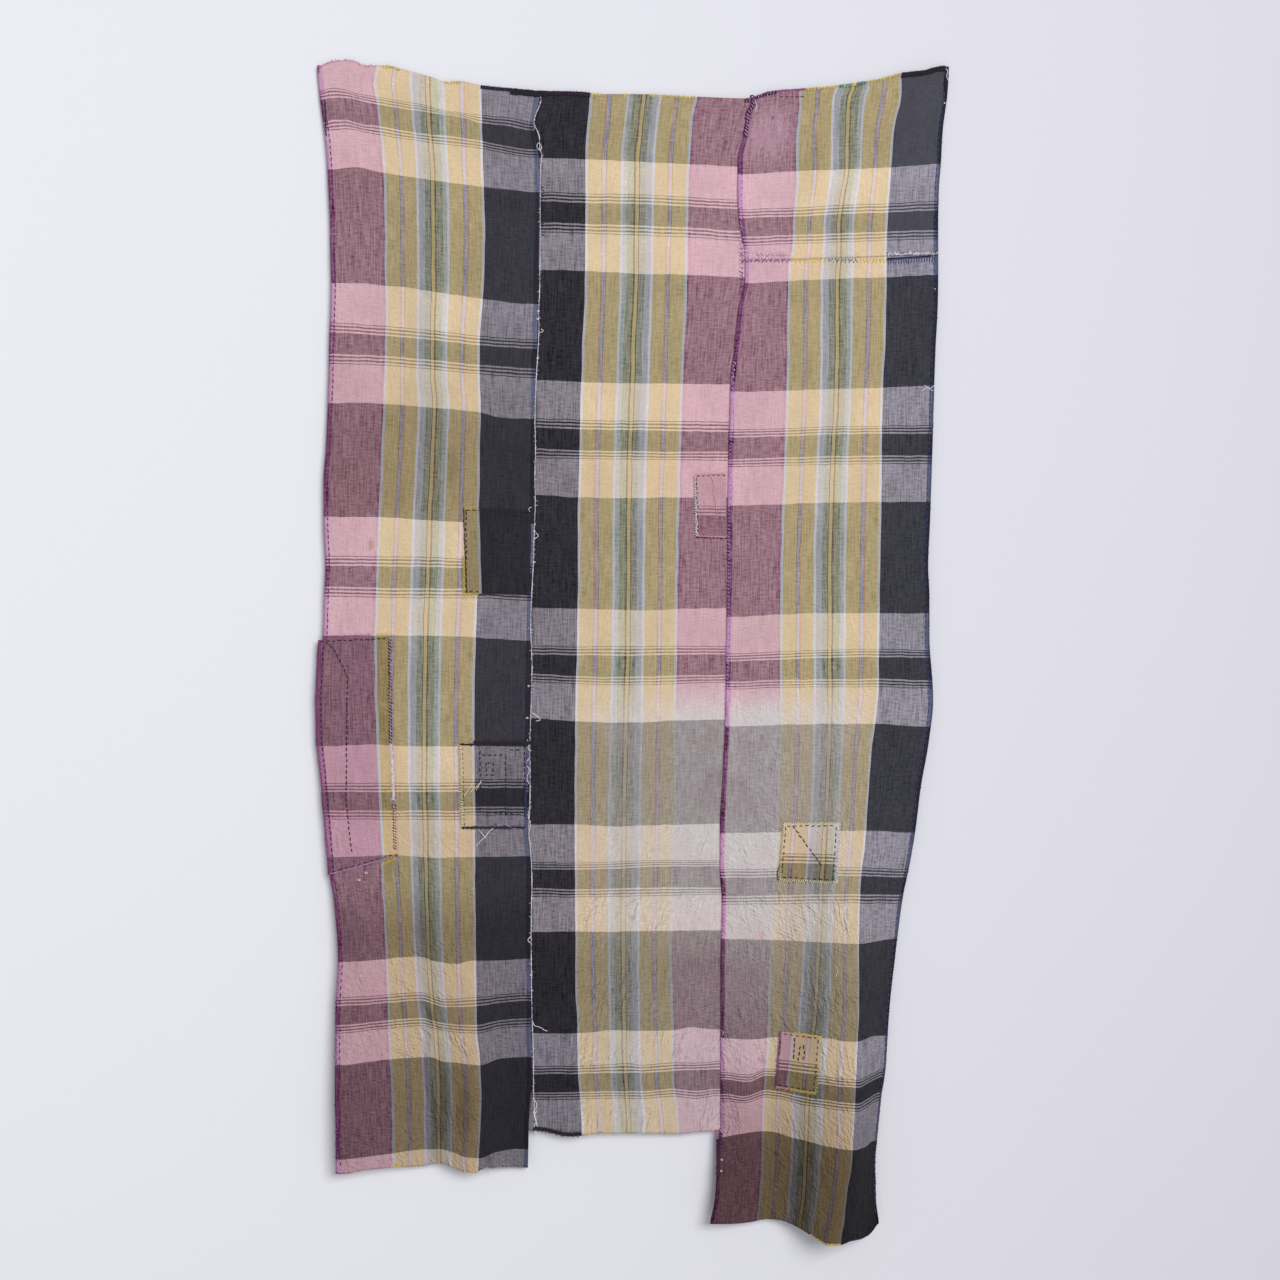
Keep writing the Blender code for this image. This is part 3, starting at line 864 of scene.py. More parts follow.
# Stains, soiled spots, one faded spot and two painted shadows in the fold low on the left-hand length: u, v, width
# and height in mm, colour, strength.
STAINS_AND_SHADOWS = {
    "left": (
        (77, 580, 7, 12, "AC8470", 0.6), (109, 505, 4, 5, "94805C", 0.4), (206, 852, 5, 7, "7C7050", 0.4),
        (76, 126, 5, 16, "70565A", 0.3), (38, 456, 5, 6, "6C4A52", 0.4), (309, 685, 4, 5, "9A8A8E", 0.5),
        # The last spot of this row, at u 160, and the last of the next, at u 178, are painted shadow in the fold.
        (202, 450, 13, 44, "6E6248", 0.35), (101, 1085, 11, 60, "6E6444", 0.3), (160, 1215, 16, 60, "5C5C52", 0.3),
        (218, 1528, 24, 86, "56452A", 0.45), (178, 1520, 16, 90, "3C3A30", 0.35),
    ),
    "middle": (
        (159, 626, 8, 11, "5F6450", 0.45), (106, 503, 3, 4, "7E7350", 0.5), (70, 496, 3, 4, "6C5058", 0.5),
        (186, 116, 8, 10, "6E6B4A", 0.35), (152, 1417, 5, 6, "8A8468", 0.4), (312, 576, 7, 9, "8A6A70", 0.35),
    ),
    "right": (
        (42, 112, 50, 58, "C8A2B2", 0.34), (45, 89, 3, 4, "5A2E50", 0.7), (41, 1108, 4, 4, "847078", 0.5),
        (72, 1434, 9, 13, "C9A0AC", 0.45),
    ),
}
FADED_LIGHT, FADED_DARK = "C9C3C2", "9A9394"
# How far each stripe of the warp takes the fading: u, share.
FADES = (
    (0, 0.0), (6, 0.0), (9, 1.0), (87, 1.0), (92, 0.5), (140, 0.52), (190, 0.5), (215, 0.3), (244, 0.15),
    (249, 0.0),
)


def linear(text):
    """A colour written as sRGB hex, in the linear values that shaders take."""
    channels = [int(text[i : i + 2], 16) / 255.0 for i in (0, 2, 4)]
    return (*(c / 12.92 if c <= 0.04045 else ((c + 0.055) / 1.055) ** 2.4 for c in channels), 1.0)


def grey(value):
    """A plain value as a ramp's colour."""
    return (value, value, value, 1.0)


def add(tree, kind, inputs=None, out=0, stops=None, **settings):
    """Adds a shader node with its settings, links and ramp stops, and returns one of its outputs."""
    node = tree.nodes.new("ShaderNode" + kind)
    for key, value in settings.items():
        setattr(node, key, value)
    if stops:
        ramp = node.color_ramp
        ramp.interpolation = "CONSTANT" if stops[0] == "steps" else "LINEAR"
        for index, (place, colour) in enumerate(stops[1:]):
            stop = ramp.elements[index] if index < 2 else ramp.elements.new(place)
            stop.position = place
            stop.color = colour
    for key, value in (inputs or {}).items():
        if isinstance(value, bpy.types.NodeSocket):
            tree.links.new(value, node.inputs[key])
        else:
            node.inputs[key].default_value = value
    return node.outputs[out]


COLOURED = {"data_type": "RGBA"}
TINTED = {"data_type": "RGBA", "blend_type": "MULTIPLY"}
TIMES, PLUS, MINUS = {"operation": "MULTIPLY"}, {"operation": "ADD"}, {"operation": "SUBTRACT"}
TIMES_PLUS = {"operation": "MULTIPLY_ADD"}


def ramp_of(changes, column):
    """Ramp stops, in steps, from a chart that gives where each stripe ends."""
    starts = [0.0] + [row[0] for row in changes[:-1]]
    return ["steps"] + [(start / CHART_WIDE, linear(row[column])) for start, row in zip(starts, changes)]


# Patterns in the yarn and the cloth, on the chart in mm: width, height, detail, shift, turn in degrees.
PATTERNS = {
    "warp_yarn": (2.2, 40.0, 2.0, 0.0, 0.0),
    "weft_yarn": (14.0, 2.6, 2.0, 150.0, 0.0),
    "grain": (3.4, 3.6, 2.0, 350.0, 0.0),
    "cloudy": (70.0, 80.0, 3.0, 550.0, 0.0),
    "wavers": (30.0, 55.0, 1.0, 850.0, 0.0),
    "crumple": (9.0, 42.0, 2.0, 1150.0, -62.0),
    "pucker": (11.0, 46.0, 2.0, 1450.0, -16.0),
}
# How far each darkens and lightens the colour.
SHADES = (("warp_yarn", 0.88, 1.12), ("weft_yarn", 0.95, 1.05), ("grain", 0.9, 1.1), ("cloudy", 0.92, 1.08))


def cotton(name, tones, warp, tint="FFFFFF", dark_tint="FFFFFF", fading=True, stains_and_shadows=()):
    """Hand-woven cotton, plain weave in dyed yarns, soft from washing.

    The eye sees matt cloth with uneven, slubby yarn, stripes that mottle where a dark weft crosses them, and
    broad uneven wear, with painted shade that darkens it towards the hem. The yarns are about 0.8 mm apart,
    which is too fine to show, so yarn streaks are drawn about 2 mm wide.
    """
    material = bpy.data.materials.new(name)
    material.use_nodes = True
    tree = material.node_tree
    shader = tree.nodes["Principled BSDF"]
    chart = add(tree, "UVMap", uv_map="weave")
    mm = add(tree, "VectorMath", {0: chart, 3: 1000.0}, operation="SCALE")
    u = add(tree, "SeparateXYZ", {0: mm}, out="X")
    v = add(tree, "SeparateXYZ", {0: mm}, out="Y")

    yarn = {}
    for pattern, (wide, high, detail, shift, turned) in PATTERNS.items():
        placing = {0: mm, "Scale": (wide, high, 1.0), "Location": (shift, 3.0, 0.0)}
        placing["Rotation"] = (0.0, 0.0, math.radians(turned))
        moved = add(tree, "Mapping", placing, vector_type="TEXTURE")
        settings = {"Vector": moved, "Scale": 1.0, "Detail": detail, "Roughness": 0.6}
        yarn[pattern] = add(tree, "TexNoise", settings, noise_dimensions="2D")

    # Stripes and bands waver by about a millimetre at most.
    aside = add(tree, "Math", {0: yarn["wavers"], 1: 2.4, 2: -1.2}, **TIMES_PLUS)
    u_yarn = add(tree, "Math", {0: u, 1: aside}, **PLUS)
    v_yarn = add(tree, "Math", {0: v, 1: aside}, **MINUS)
    place = add(tree, "Math", {0: u_yarn, 1: 1.0 / CHART_WIDE}, **TIMES)
    light = add(tree, "ValToRGB", {0: place}, stops=ramp_of(warp, 1))
    dark = add(tree, "ValToRGB", {0: place}, stops=ramp_of(warp, 2))
    phase = add(tree, "Math", {0: v_yarn, 1: REPEAT}, operation="FLOORED_MODULO")
    turn = add(tree, "Math", {0: phase, 1: 1.0 / REPEAT}, **TIMES)
    banded = ["steps"] + [(start / REPEAT, grey(is_dark)) for start, is_dark in WEFT]
    mask = add(tree, "ValToRGB", {0: turn}, stops=banded)

    # Wear, soiling and painted shade down the length, darker towards the hem, and the faded stretch.
    down = add(tree, "MapRange", {0: v, 1: TONE_TOP, 2: TONE_BOTTOM})
    span = TONE_BOTTOM - TONE_TOP
    wear_and_shade = {}
    for column, tinted in ((1, "light"), (2, "dark")):
        stops = ["soft"] + [((row[0] - TONE_TOP) / span, linear(row[column])) for row in tones]
        wear_and_shade[tinted] = add(tree, "ValToRGB", {0: down}, stops=stops)
    if fading:
        stops = ["soft"] + [((row[0] - TONE_TOP) / span, grey(row[3])) for row in tones]
        faded_down = add(tree, "ValToRGB", {0: down}, stops=stops)
        stops = ["soft"] + [(at / CHART_WIDE, grey(share)) for at, share in FADES]
        faded_across = add(tree, "ValToRGB", {0: place}, stops=stops)
        faded = add(tree, "Math", {0: faded_down, 1: faded_across}, **TIMES)
        uneven = add(tree, "MapRange", {0: yarn["cloudy"], 1: 0.3, 2: 0.7, 3: 0.75, 4: 1.1})
        faded = add(tree, "Math", {0: faded, 1: uneven}, use_clamp=True, **TIMES)
        light = add(tree, "Mix", {0: faded, 6: light, 7: linear(FADED_LIGHT)}, out=2, **COLOURED)
        dark = add(tree, "Mix", {0: faded, 6: dark, 7: linear(FADED_DARK)}, out=2, **COLOURED)

    # The weft shows through the warp unevenly, yarn by yarn.
    speckle = add(tree, "Math", {0: yarn["grain"], 1: 0.5, 2: yarn["weft_yarn"]}, **TIMES_PLUS)
    speckle = add(tree, "Math", {0: yarn["warp_yarn"], 1: 1.5, 2: speckle}, **TIMES_PLUS)
    mottle = add(tree, "MapRange", {0: speckle, 1: 1.25, 2: 1.75, 3: -0.23, 4: 0.23}, clamp=False)
    # Black warp is heathered under the light weft and even under the dark one.
    black = add(tree, "Math", {0: place, 1: BLACK_FROM / CHART_WIDE}, operation="GREATER_THAN")
    heather = add(tree, "MapRange", {0: mask, 3: 0.5, 4: -0.76})
    heather = add(tree, "Math", {0: black, 1: heather, 2: 1.0}, **TIMES_PLUS)
    mottle = add(tree, "Math", {0: mottle, 1: heather}, **TIMES)
    blend = add(tree, "MapRange", {0: mask, 3: 0.0, 4: 0.98})
    blend = add(tree, "Math", {0: blend, 1: mottle}, **PLUS)
    colour = add(tree, "Mix", {0: blend, 6: light, 7: dark}, out=2, clamp_factor=False, **COLOURED)
    # The tone ramps carry painted shade as well as wear and soiling: they draw the cloth darker towards the hem.
    for on_light, on_dark in ((wear_and_shade["light"], wear_and_shade["dark"]), (linear(tint), linear(dark_tint))):
        worn_and_shaded = add(tree, "Mix", {0: mask, 6: on_light, 7: on_dark}, out=2, **COLOURED)
        colour = add(tree, "Mix", {0: 1.0, 6: colour, 7: worn_and_shaded}, out=2, **TINTED)
    for pattern, low, high in SHADES:
        shade = add(tree, "MapRange", {0: yarn[pattern], 1: 0.25, 2: 0.75, 3: low, 4: high})
        shaded = add(tree, "CombineColor", {0: shade, 1: shade, 2: shade})
        colour = add(tree, "Mix", {0: 1.0, 6: colour, 7: shaded}, out=2, **TINTED)
    # Stains and soiled spots, and painted shadow where a fold is shaded.
    for at_u, at_v, wide, high, hue, strength in stains_and_shadows:
        off = add(tree, "VectorMath", {0: mm, 1: (at_u, at_v, 0.0)}, **MINUS)
        off = add(tree, "VectorMath", {0: off, 1: (1.0 / wide, 1.0 / high, 0.0)}, **TIMES)
        off = add(tree, "VectorMath", {0: off}, out="Value", operation="LENGTH")
        off = add(tree, "Math", {0: yarn["grain"], 1: 0.8, 2: off}, **TIMES_PLUS)
        fading_out = {0: off, 1: 0.7, 2: 1.5, 3: strength, 4: 0.0}
        spread = add(tree, "MapRange", fading_out, interpolation_type="SMOOTHSTEP")
        colour = add(tree, "Mix", {0: spread, 6: colour, 7: linear(hue)}, out=2, **COLOURED)
    tree.links.new(colour, shader.inputs["Base Color"])

    # Yarn, in quarters of a mm, and washed creases, which are stronger low down where the cloth is slack.
    weave = add(tree, "Math", {0: yarn["warp_yarn"], 1: yarn["weft_yarn"]}, **PLUS)
    weave = add(tree, "Math", {0: yarn["grain"], 1: 0.8, 2: weave}, **TIMES_PLUS)
    fold = 0.0
    for pattern in ("crumple", "pucker"):
        ridge = add(tree, "Math", {0: yarn[pattern], 1: 0.5}, **MINUS)
        ridge = add(tree, "Math", {0: ridge}, operation="ABSOLUTE")
        fold = add(tree, "Math", {0: ridge, 1: fold}, **PLUS)
    slack = add(tree, "MapRange", {0: v, 1: 900.0, 2: 1500.0, 3: 1.2, 4: 5.0})
    patchy = add(tree, "MapRange", {0: yarn["cloudy"], 1: 0.35, 2: 0.65, 3: 0.25, 4: 1.6})
    slack = add(tree, "Math", {0: slack, 1: patchy}, **TIMES)
    fold = add(tree, "Math", {0: fold, 1: slack}, **TIMES)
    height = add(tree, "Math", {0: weave, 1: 0.25, 2: fold}, **TIMES_PLUS)
    bump = add(tree, "Bump", {"Height": height, "Strength": 1.0, "Distance": MM})
    tree.links.new(bump, shader.inputs["Normal"])
    rough = add(tree, "MapRange", {0: yarn["grain"], 3: 0.85, 4: 0.98})
    tree.links.new(rough, shader.inputs["Roughness"])
    shader.inputs["IOR"].default_value = 1.45
    shader.inputs["Specular IOR Level"].default_value = 0.15
    shader.inputs["Sheen Weight"].default_value = 0.04
    shader.inputs["Sheen Roughness"].default_value = 0.5
    return material


# Threads by colour: thread as the eye sees it. All are matt, two-ply and a little fuzzy.
THREAD_COLOURS = {
    "dark": "2B2631",
    "white": "E4E0E6",
    "cream": "E0D6B4",
    "lilac": "C59CC2",
    "pink": "C58DB4",
    "magenta": "8E4C7C",
    "purple": "5A2C52",
    "gold": "DCC060",
    "blue": "414B7E",
    "teal": "6B8F84",
    "coral": "C2626A",
    "rose": "E2A0AA",
}
CHANCE = np.random.default_rng(31)

# Sewing thread shows about 1.5 mm wide, so it is drawn this much stouter, longer and wider apart than its row says.
BULK = 1.6
STITCH_LENGTH = 1.3
RUNNING_PITCH = 1.5
LEANING_PITCH = 1.15
ROLL_FROM = 0.7  # a strand from this thickness up is a roll of cloth or yarn, and is drawn as its row says

# Heights above the back of the cloth: the front of a patch, and of the right-hand length on its lap.
ON_PATCH = CLOTH + LAYER_GAP + PATCH_CLOTH
ON_LAP = CLOTH + LAP_STEP

# Down the thread of each long seam.
SEAM_ONE_THREAD = (
    (-148.2, 5.6), (-146.9, -4.8), (-149.4, -17.3), (-155.8, -30.1), (-159.7, -45.4), (-155.8, -52.5),
    (-150.1, -64), (-149.4, -88), (-145.6, -94.4), (-148.8, -120), (-148.8, -200), (-149.3, -312), (-151.2, -344),
    (-150.6, -379.2), (-152.8, -417.6), (-155.2, -452.8), (-157.6, -523.2), (-155.8, -560), (-157.6, -606.4),
    (-156.3, -652.8), (-158.4, -700.8), (-160, -758.4), (-162.2, -795.2), (-164.6, -854.4), (-161.6, -900.8),
    (-162.2, -947.2), (-163.4, -982.4), (-165.8, -1043.2), (-164.6, -1089.6), (-165.3, -1136), (-167.7, -1184),
    (-163.8, -1208), (-161.6, -1254.4), (-162.9, -1302.4), (-163.4, -1348.8), (-162.9, -1395.2), (-162.2, -1467.2),
    (-160.6, -1502.4), (-159.2, -1548.8), (-159.8, -1584), (-157.6, -1632), (-152.8, -1654.4),
)
SEAM_TWO_THREAD = (
    (191.7, -4.8), (187.8, -17.6), (180.3, -30.4), (179, -46.4), (176.5, -65.6), (173.9, -73.6), (168.8, -91.2),
    (168, -168), (169.9, -296), (168.8, -342.4), (164, -382.4), (159.4, -417.6), (156.5, -436.8), (154.7, -460.8),
    (154.2, -499.2), (153.1, -552), (150.9, -606.4), (150.1, -676.8), (149.3, -758.4), (148.8, -884.8),
    (147.2, -931.2), (145.8, -966.4), (142.9, -1078.4), (140.5, -1148.8), (139.4, -1204.8), (138.2, -1243.2),
    (140.5, -1273.6), (141.3, -1313.6), (140, -1348.8), (139.4, -1502.4), (140.5, -1548.8), (141.8, -1596.8),
    (139.4, -1643.2), (134.4, -1688), (132, -1729.6),
)
TWO_ASIDE = 3.2  # the second seam's whipping lies this far onto the right-hand length

# Loose thread that hangs in loops from the first seam, and knots beside both.
SEAM_LOOPS = (
    ((-152, -76.8), (-155.2, -83.2), (-148.8, -89.6), (-145.6, -83.2), (-150.4, -76.8)),
    ((-147.2, -374.4), (-142.4, -377.6), (-150.4, -380.8)),
    ((-163.2, -659.2), (-168, -662.4), (-164.8, -667.2)),
    ((-155.2, -700.8), (-150.4, -705.6), (-158.4, -710.4)),
    ((-161.6, -988.8), (-153.6, -993.6), (-147.2, -1000), (-155.2, -1001.6)),
    ((-169.6, -1032), (-164.8, -1038.4), (-169.6, -1044.8), (-163.2, -1049.6)),
    ((-166.4, -1060.8), (-172.8, -1070.4), (-164.8, -1080), (-171.2, -1092.8), (-166.4, -1102.4)),
    ((-163.2, -1137.6), (-169.6, -1152), (-163.2, -1166.4), (-168, -1182.4), (-163.2, -1201.6)),
    ((-161.6, -1480), (-158.4, -1489.6), (-148.8, -1491.2), (-142.4, -1496), (-137.6, -1497.6)),
    ((-163.2, -1345.6), (-169.6, -1352), (-164.8, -1356.8)),
    ((-160, -1604.8), (-152, -1617.6), (-161.6, -1627.2), (-153.6, -1640), (-160, -1651.2), (-152, -1665.6)),
    ((-153.6, -1624), (-160, -1635.2), (-152, -1646.4), (-156.8, -1660.8)),
)
SEAM_KNOTS = (
    (-152, -345.6), (-152.8, -358.4), (-152.8, -420.8), (-158.4, -697.6), (-158.7, -747.2), (-163.2, -856),
    (-167.2, -945.6), (-169.6, -996.8), (-163.2, -1408), (-156.8, -1628.8), (141.8, -1704), (140.8, -1721.6),
)

# The second seam is whipped in thread after thread: top, bottom, its colour, the colour over it, whether it is heavy.
SEAM_TWO_RUNS = (
    (-4.8, -67.2, "purple", "lilac", True),
    (-67.2, -123.2, "magenta", "blue", False),
    (-123.2, -188.8, "lilac", "blue", False),
    (-188.8, -280.0, "lilac", "purple", False),
    (-280.0, -419.2, "magenta", "purple", False),
    (-424.0, -536.0, "lilac", "white", False),
    (-536.0, -952.0, "lilac", "blue", False),
    (-952.0, -974.4, "pink", "white", False),
    (-974.4, -1011.2, "pink", "lilac", False),
    (-1011.2, -1180.8, "magenta", "purple", False),
    (-1180.8, -1236.8, "pink", "white", False),
    (-1240.0, -1296.0, "dark", "pink", False),
    (-1296.0, -1336.0, "magenta", "pink", False),
    (-1336.0, -1494.4, "purple", "magenta", False),
    (-1494.4, -1544.0, "pink", "white", False),
    (-1544.0, -1652.8, "magenta", "purple", False),
    (-1659.2, -1729.6, "purple", "dark", True),
)

# The cross seam: its raw edge, and its line of stitches.
RAW_EDGE = ((171.2, -254.4), (486.4, -251.2))
SEWN_LINE = ((172.8, -264), (486.4, -265.6))
# Shares of the raw edge that fray: colour, start, end, pitch of the white fibres among it.
CROSS_FRAYS = (("pink", 0.0, 0.24, 5.0), ("blue", 0.75, 1.0, 0.9))
# Shares of the line: start, end, colours of its upper, lower and middle row, height above the back.
CROSS_RUNS = (
    (0.0, 0.1, "lilac", "magenta", "blue", ON_LAP),
    (0.1, 0.25, "pink", "magenta", "blue", CLOTH),
    (0.25, 0.44, "gold", "gold", "gold", CLOTH),
    (0.44, 0.6, "teal", "teal", "blue", CLOTH),
    (0.6, 0.745, "gold", "gold", "gold", CLOTH),
)
DARK_RUN = (0.745, 1.0)  # the last share is a thick dark roll, whipped in blue

# Rows of stitches round each patch: side, inset, colour, pitch, stitch, lean, thickness.
PATCH_ROWS = {
    "patch_dark": (
        ("left", 0.6, "dark", 5.0, 4.2, 0, 0.4),
        ("top", 3, "dark", 6.5, 4.2, 0, 0.45),
        ("bottom", 3, "dark", 6.5, 4.2, 0, 0.45),
    ),
    "patch_mauve": (
        ("left", 8.5, "dark", 6.0, 4.4, 0, 0.5),
        ("top", 2.5, "dark", 6.0, 4.4, 0, 0.5),
        ("bottom", 0.8, "pink", 4.6, 4.8, 15, 0.45),
        ("bottom", 4, "dark", 7.0, 4.4, 0, 0.45),
        ("left", 2, "magenta", 5.0, 4.6, 30, 0.5),
    ),
    "patch_blue_grey": (
        ("left", 5, "dark", 5.0, 3.0, 0, 0.3),
        ("left", 0.5, "cream", 3.4, 4.6, 65, 0.45),
        ("top", 1, "dark", 2.4, 5.5, 15, 0.7),
        ("bottom", 1.0, "dark", 3.4, 5.2, 30, 0.7),
        ("right", 1, "blue", 4.0, 4.2, 30, 0.45),
    ),
    "patch_pink": (
        ("left", 3, "dark", 5.0, 3.6, 0, 0.45),
        ("left", 0.5, "white", 3.4, 4.2, 60, 0.4),
        ("top", 2, "dark", 5.5, 3.4, 0, 0.4),
        ("top", 0, "rose", 4.0, 4.6, 20, 0.42),
        ("bottom", 1.6, "rose", 3.6, 3.0, 20, 0.4),
        ("bottom", -0.4, "dark", 4.2, 3.6, 0, 0.4),
    ),
    "patch_striped": (
        ("left", 0.5, "cream", 3.4, 4.2, 60, 0.36),
        ("right", 0, "white", 3.0, 4.2, 60, 0.46),
        ("top", 0.5, "cream", 3.0, 4.2, 60, 0.42),
        ("bottom", 0, "cream", 3.0, 4.4, 60, 0.46),
        ("left", 4.5, "dark", 6.5, 4.2, 0, 0.45),
        ("right", 4.5, "dark", 6.5, 4.2, 0, 0.45),
        ("top", 4.5, "dark", 6.5, 4.2, 0, 0.45),
        ("bottom", 4.5, "dark", 6.5, 4.2, 0, 0.45),
    ),
    "patch_tilted": (
        ("right", 0.5, "gold", 4.6, 3.6, 60, 0.3),
        ("left", 0.5, "magenta", 3.2, 4.2, 60, 0.42),
        ("right", 4, "dark", 6.5, 4.2, 0, 0.45),
        ("top", 4, "dark", 6.5, 4.2, 0, 0.45),
        ("bottom", 4, "dark", 6.5, 4.2, 0, 0.45),
    ),
}
# Quilting lines on the patches, in running stitch.
QUILTING = (
    ("dark", (
        (-492.8, -873.6), (-478.4, -888), (-465.6, -912), (-457.6, -929.6), (-458.4, -1040), (-459.2, -1128),
        (-452.8, -1192), (-449.6, -1211.2),
    )),
    ("dark", ((-244.8, -1048), (-244.8, -1147.2))),
    ("dark", ((-243.2, -1056), (-204.8, -1056))),
    ("dark", ((-204, -1056), (-204, -1152))),
    ("dark", ((-235.2, -1068.8), (-224, -1068.8), (-224, -1088), (-235.2, -1088), (-235.2, -1068.8))),
    ("dark", ((-173.6, -1040), (-173.6, -1156.8))),
    ("dark", ((255.2, -1168), (300.2, -1230.4))),
    ("dark", (
        (265.6, -1547.2), (266.1, -1536), (269.1, -1522.4), (274.6, -1522.4), (276.2, -1532.8), (273.9, -1542.4),
    )),
    ("dark", ((259.7, -1507.2), (258.2, -1539.2))),
    ("purple", ((236.2, -1510.4), (233.9, -1540.8))),
    ("dark", ((-267.2, -664), (-267.2, -795.2))),
    ("dark", ((-198.4, -1048), (-179.2, -1048))),
    ("dark", ((-243.2, -1147.2), (-176, -1152))),
)
# The tall patch's right-hand side: its torn upper part, the worn stretch below, and the foot.
TORN_SIDE = ((-389.6, -868.8), (-388, -1040))
WORN_SIDE = ((-387.2, -1035.2), (-383.2, -1128))
FOOT_SIDE = ((-383.2, -1134.4), (-380.8, -1208))
# Short runs of gold stitches at the patches' edges.
GOLD_RUNS = (
    ((-411.2, -864.8), (-392, -864)),
    ((-401.6, -1230.4), (-390.4, -1227.2), (-380.8, -1220.8)),
    ((-270.4, -660.8), (-248, -660)),
    ((-271.5, -737.6), (-270.1, -798.4)),
    ((-270.4, -799.2), (-246.4, -798.4)),
    ((256, -1500.2), (301.6, -1508.5)),
    ((252, -1591), (294.1, -1597.8)),
)
# The hem turned over along the top of the blue-grey patch, and how far below it lies a second roll.
TURNED_HEM = ((-254.4, -1033.6), (-228.8, -1035.2), (-196.8, -1033.6), (-163.2, -1034.4))
ROLL_DROPS = (-0.8, -3.68)
PATCH_KNOTS = (
    ("dark", -384, -1129.6),
    ("dark", -379.2, -1216),
    ("white", -438.4, -1256),
    ("white", -427.2, -1244.8),
    ("gold", -392, -1225.6),
)
# Loose ends of thread on the patches.
TAILS = (
    ("lilac", ((-396.8, -1123.2), (-387.2, -1128), (-377.6, -1136))),
    ("cream", ((-270.4, -1121.6), (-264, -1112), (-257.6, -1102.4))),
    ("cream", ((-260.8, -1115.2), (-251.2, -1107.2), (-243.2, -1099.2))),
    ("cream", ((-251.2, -1112), (-246.4, -1104), (-243.2, -1096))),
    ("gold", ((-273.6, -1035.2), (-267.2, -1038.4), (-257.6, -1033.6))),
    ("rose", ((124.8, -609.6), (129.6, -622.4), (128, -635.2), (132.8, -652.8), (134.4, -676.8))),
    ("white", ((-251.2, -1201.6), (-244.8, -1193.6), (-238.4, -1188.8), (-228.8, -1176), (-219.2, -1171.2))),
    ("white", ((-235.2, -1188.8), (-241.6, -1182.4), (-248, -1174.4))),
    ("blue", ((-222.4, -1164.8), (-212.8, -1174.4), (-203.2, -1166.4), (-193.6, -1176), (-180.8, -1168))),
    ("lilac", ((-217.6, -1169.6), (-206.4, -1164.8), (-195.2, -1172.8), (-185.6, -1174.4))),
    ("white", ((99.2, -656), (104, -665.6), (99.2, -675.2), (104, -684.8), (99.2, -694.4), (104, -704))),
    ("white", ((292, -1174.4), (297.6, -1180.8), (302.4, -1187.2), (306.4, -1192))),
    ("dark", ((234.9, -1230.9), (232.8, -1238.1), (230.7, -1244.2), (231.2, -1251.2), (233.3, -1256.5))),
)

# Along the top, where it is rolled and overcast: start, end, the roll's colour and thickness, the overcast's colour.
ROLLS = (
    (-400, -372.8, "gold", 0.8, "cream"),
    (-302.4, -275.2, "gold", 0.8, "cream"),
    (-243.2, -195.2, "dark", 1.2, "blue"),
    (-195.2, -140.8, "dark", 2.2, "dark"),
    (-140.8, -68.8, "dark", 1.5, "purple"),
    (-67.2, -51.2, "gold", 0.8, "cream"),
    (-16, -8, "gold", 0.6, "cream"),
    (27.2, 102.4, "gold", 0.7, "cream"),
    (179.2, 228.8, "purple", 1.3, "lilac"),
    (228.8, 276.8, "magenta", 0.8, "pink"),
    (278.4, 328, "gold", 0.9, "cream"),
    (331.2, 350.4, "teal", 1.1, "cream"),
    (350.4, 356.8, "gold", 1.1, "cream"),
    (358.4, 371.2, "teal", 1.1, "blue"),
    (374.4, 430.4, "gold", 0.9, "cream"),
    (430.4, 499.2, "dark", 1.8, "dark"),
)
ROLL_BASE = CLOTH - 0.8

# Loose white thread at the right-hand selvedge, and knots there and at the second seam.
SELVEDGE_TAILS = (
    ((323.2, -1392), (328, -1396.8), (328, -1404.8), (324.8, -1411.2)),
    ((462.4, -473.6), (470.4, -467.2), (476.8, -470.4), (483.2, -462.4)),
    ((465.6, -464), (473.6, -470.4), (480, -473.6)),
)
SELVEDGE_KNOTS = ((430.4, -477.6), (482.9, -310.4), (162.9, -722.4), (170.6, -722.4))


def edge(table, start, end, shift=0.0):
    """A path along a level edge of the cloth."""
    x = np.linspace(start, end, max(int(abs(end - start) / 5.0), 2))
    return np.stack((x, column_of(table, 1, x) + shift), axis=1)


def stripe(length, u, top, bottom):
    """A path down one stripe of the warp."""
    z = np.arange(top, bottom, -10.0)
    return np.stack((across_at(length, np.full(z.size, float(u)), z), z), axis=1)


def rim(name, side, inset):
    """A path just inside one side of a patch."""
    ends = np.array(PATCHES[name], float)
    ends[:, 0] += inset
    ends[:, 2] -= inset
    ends[0, 1::2] -= inset
    ends[-1, 1::2] += inset
    if side == "left":
        return ends[:, :2]
    if side == "right":
        return ends[:, 2:]
    return ends[0 if side == "top" else -1].reshape(2, 2)


def part_of(line, start, end):
    """The part of a straight line between two shares of its length."""
    first, last = np.array(line)
    return np.array([first + (last - first) * share for share in (start, end)])


def paced(path, pitch):
    """Places every pitch along a path, with the path's heading there."""
    path = np.asarray(path, float)
    along = np.concatenate(((0.0,), np.cumsum(np.hypot(*np.diff(path, axis=0).T))))
    places = np.arange(pitch / 2.0, along[-1], pitch)
    here, ahead = (
        np.stack([np.interp(at, along, path[:, axis]) for axis in (0, 1)]) for at in (places - 0.5, places + 0.5)
    )
    run = ahead - here
    return zip(*((here + ahead) / 2.0), np.arctan2(run[1], run[0]))


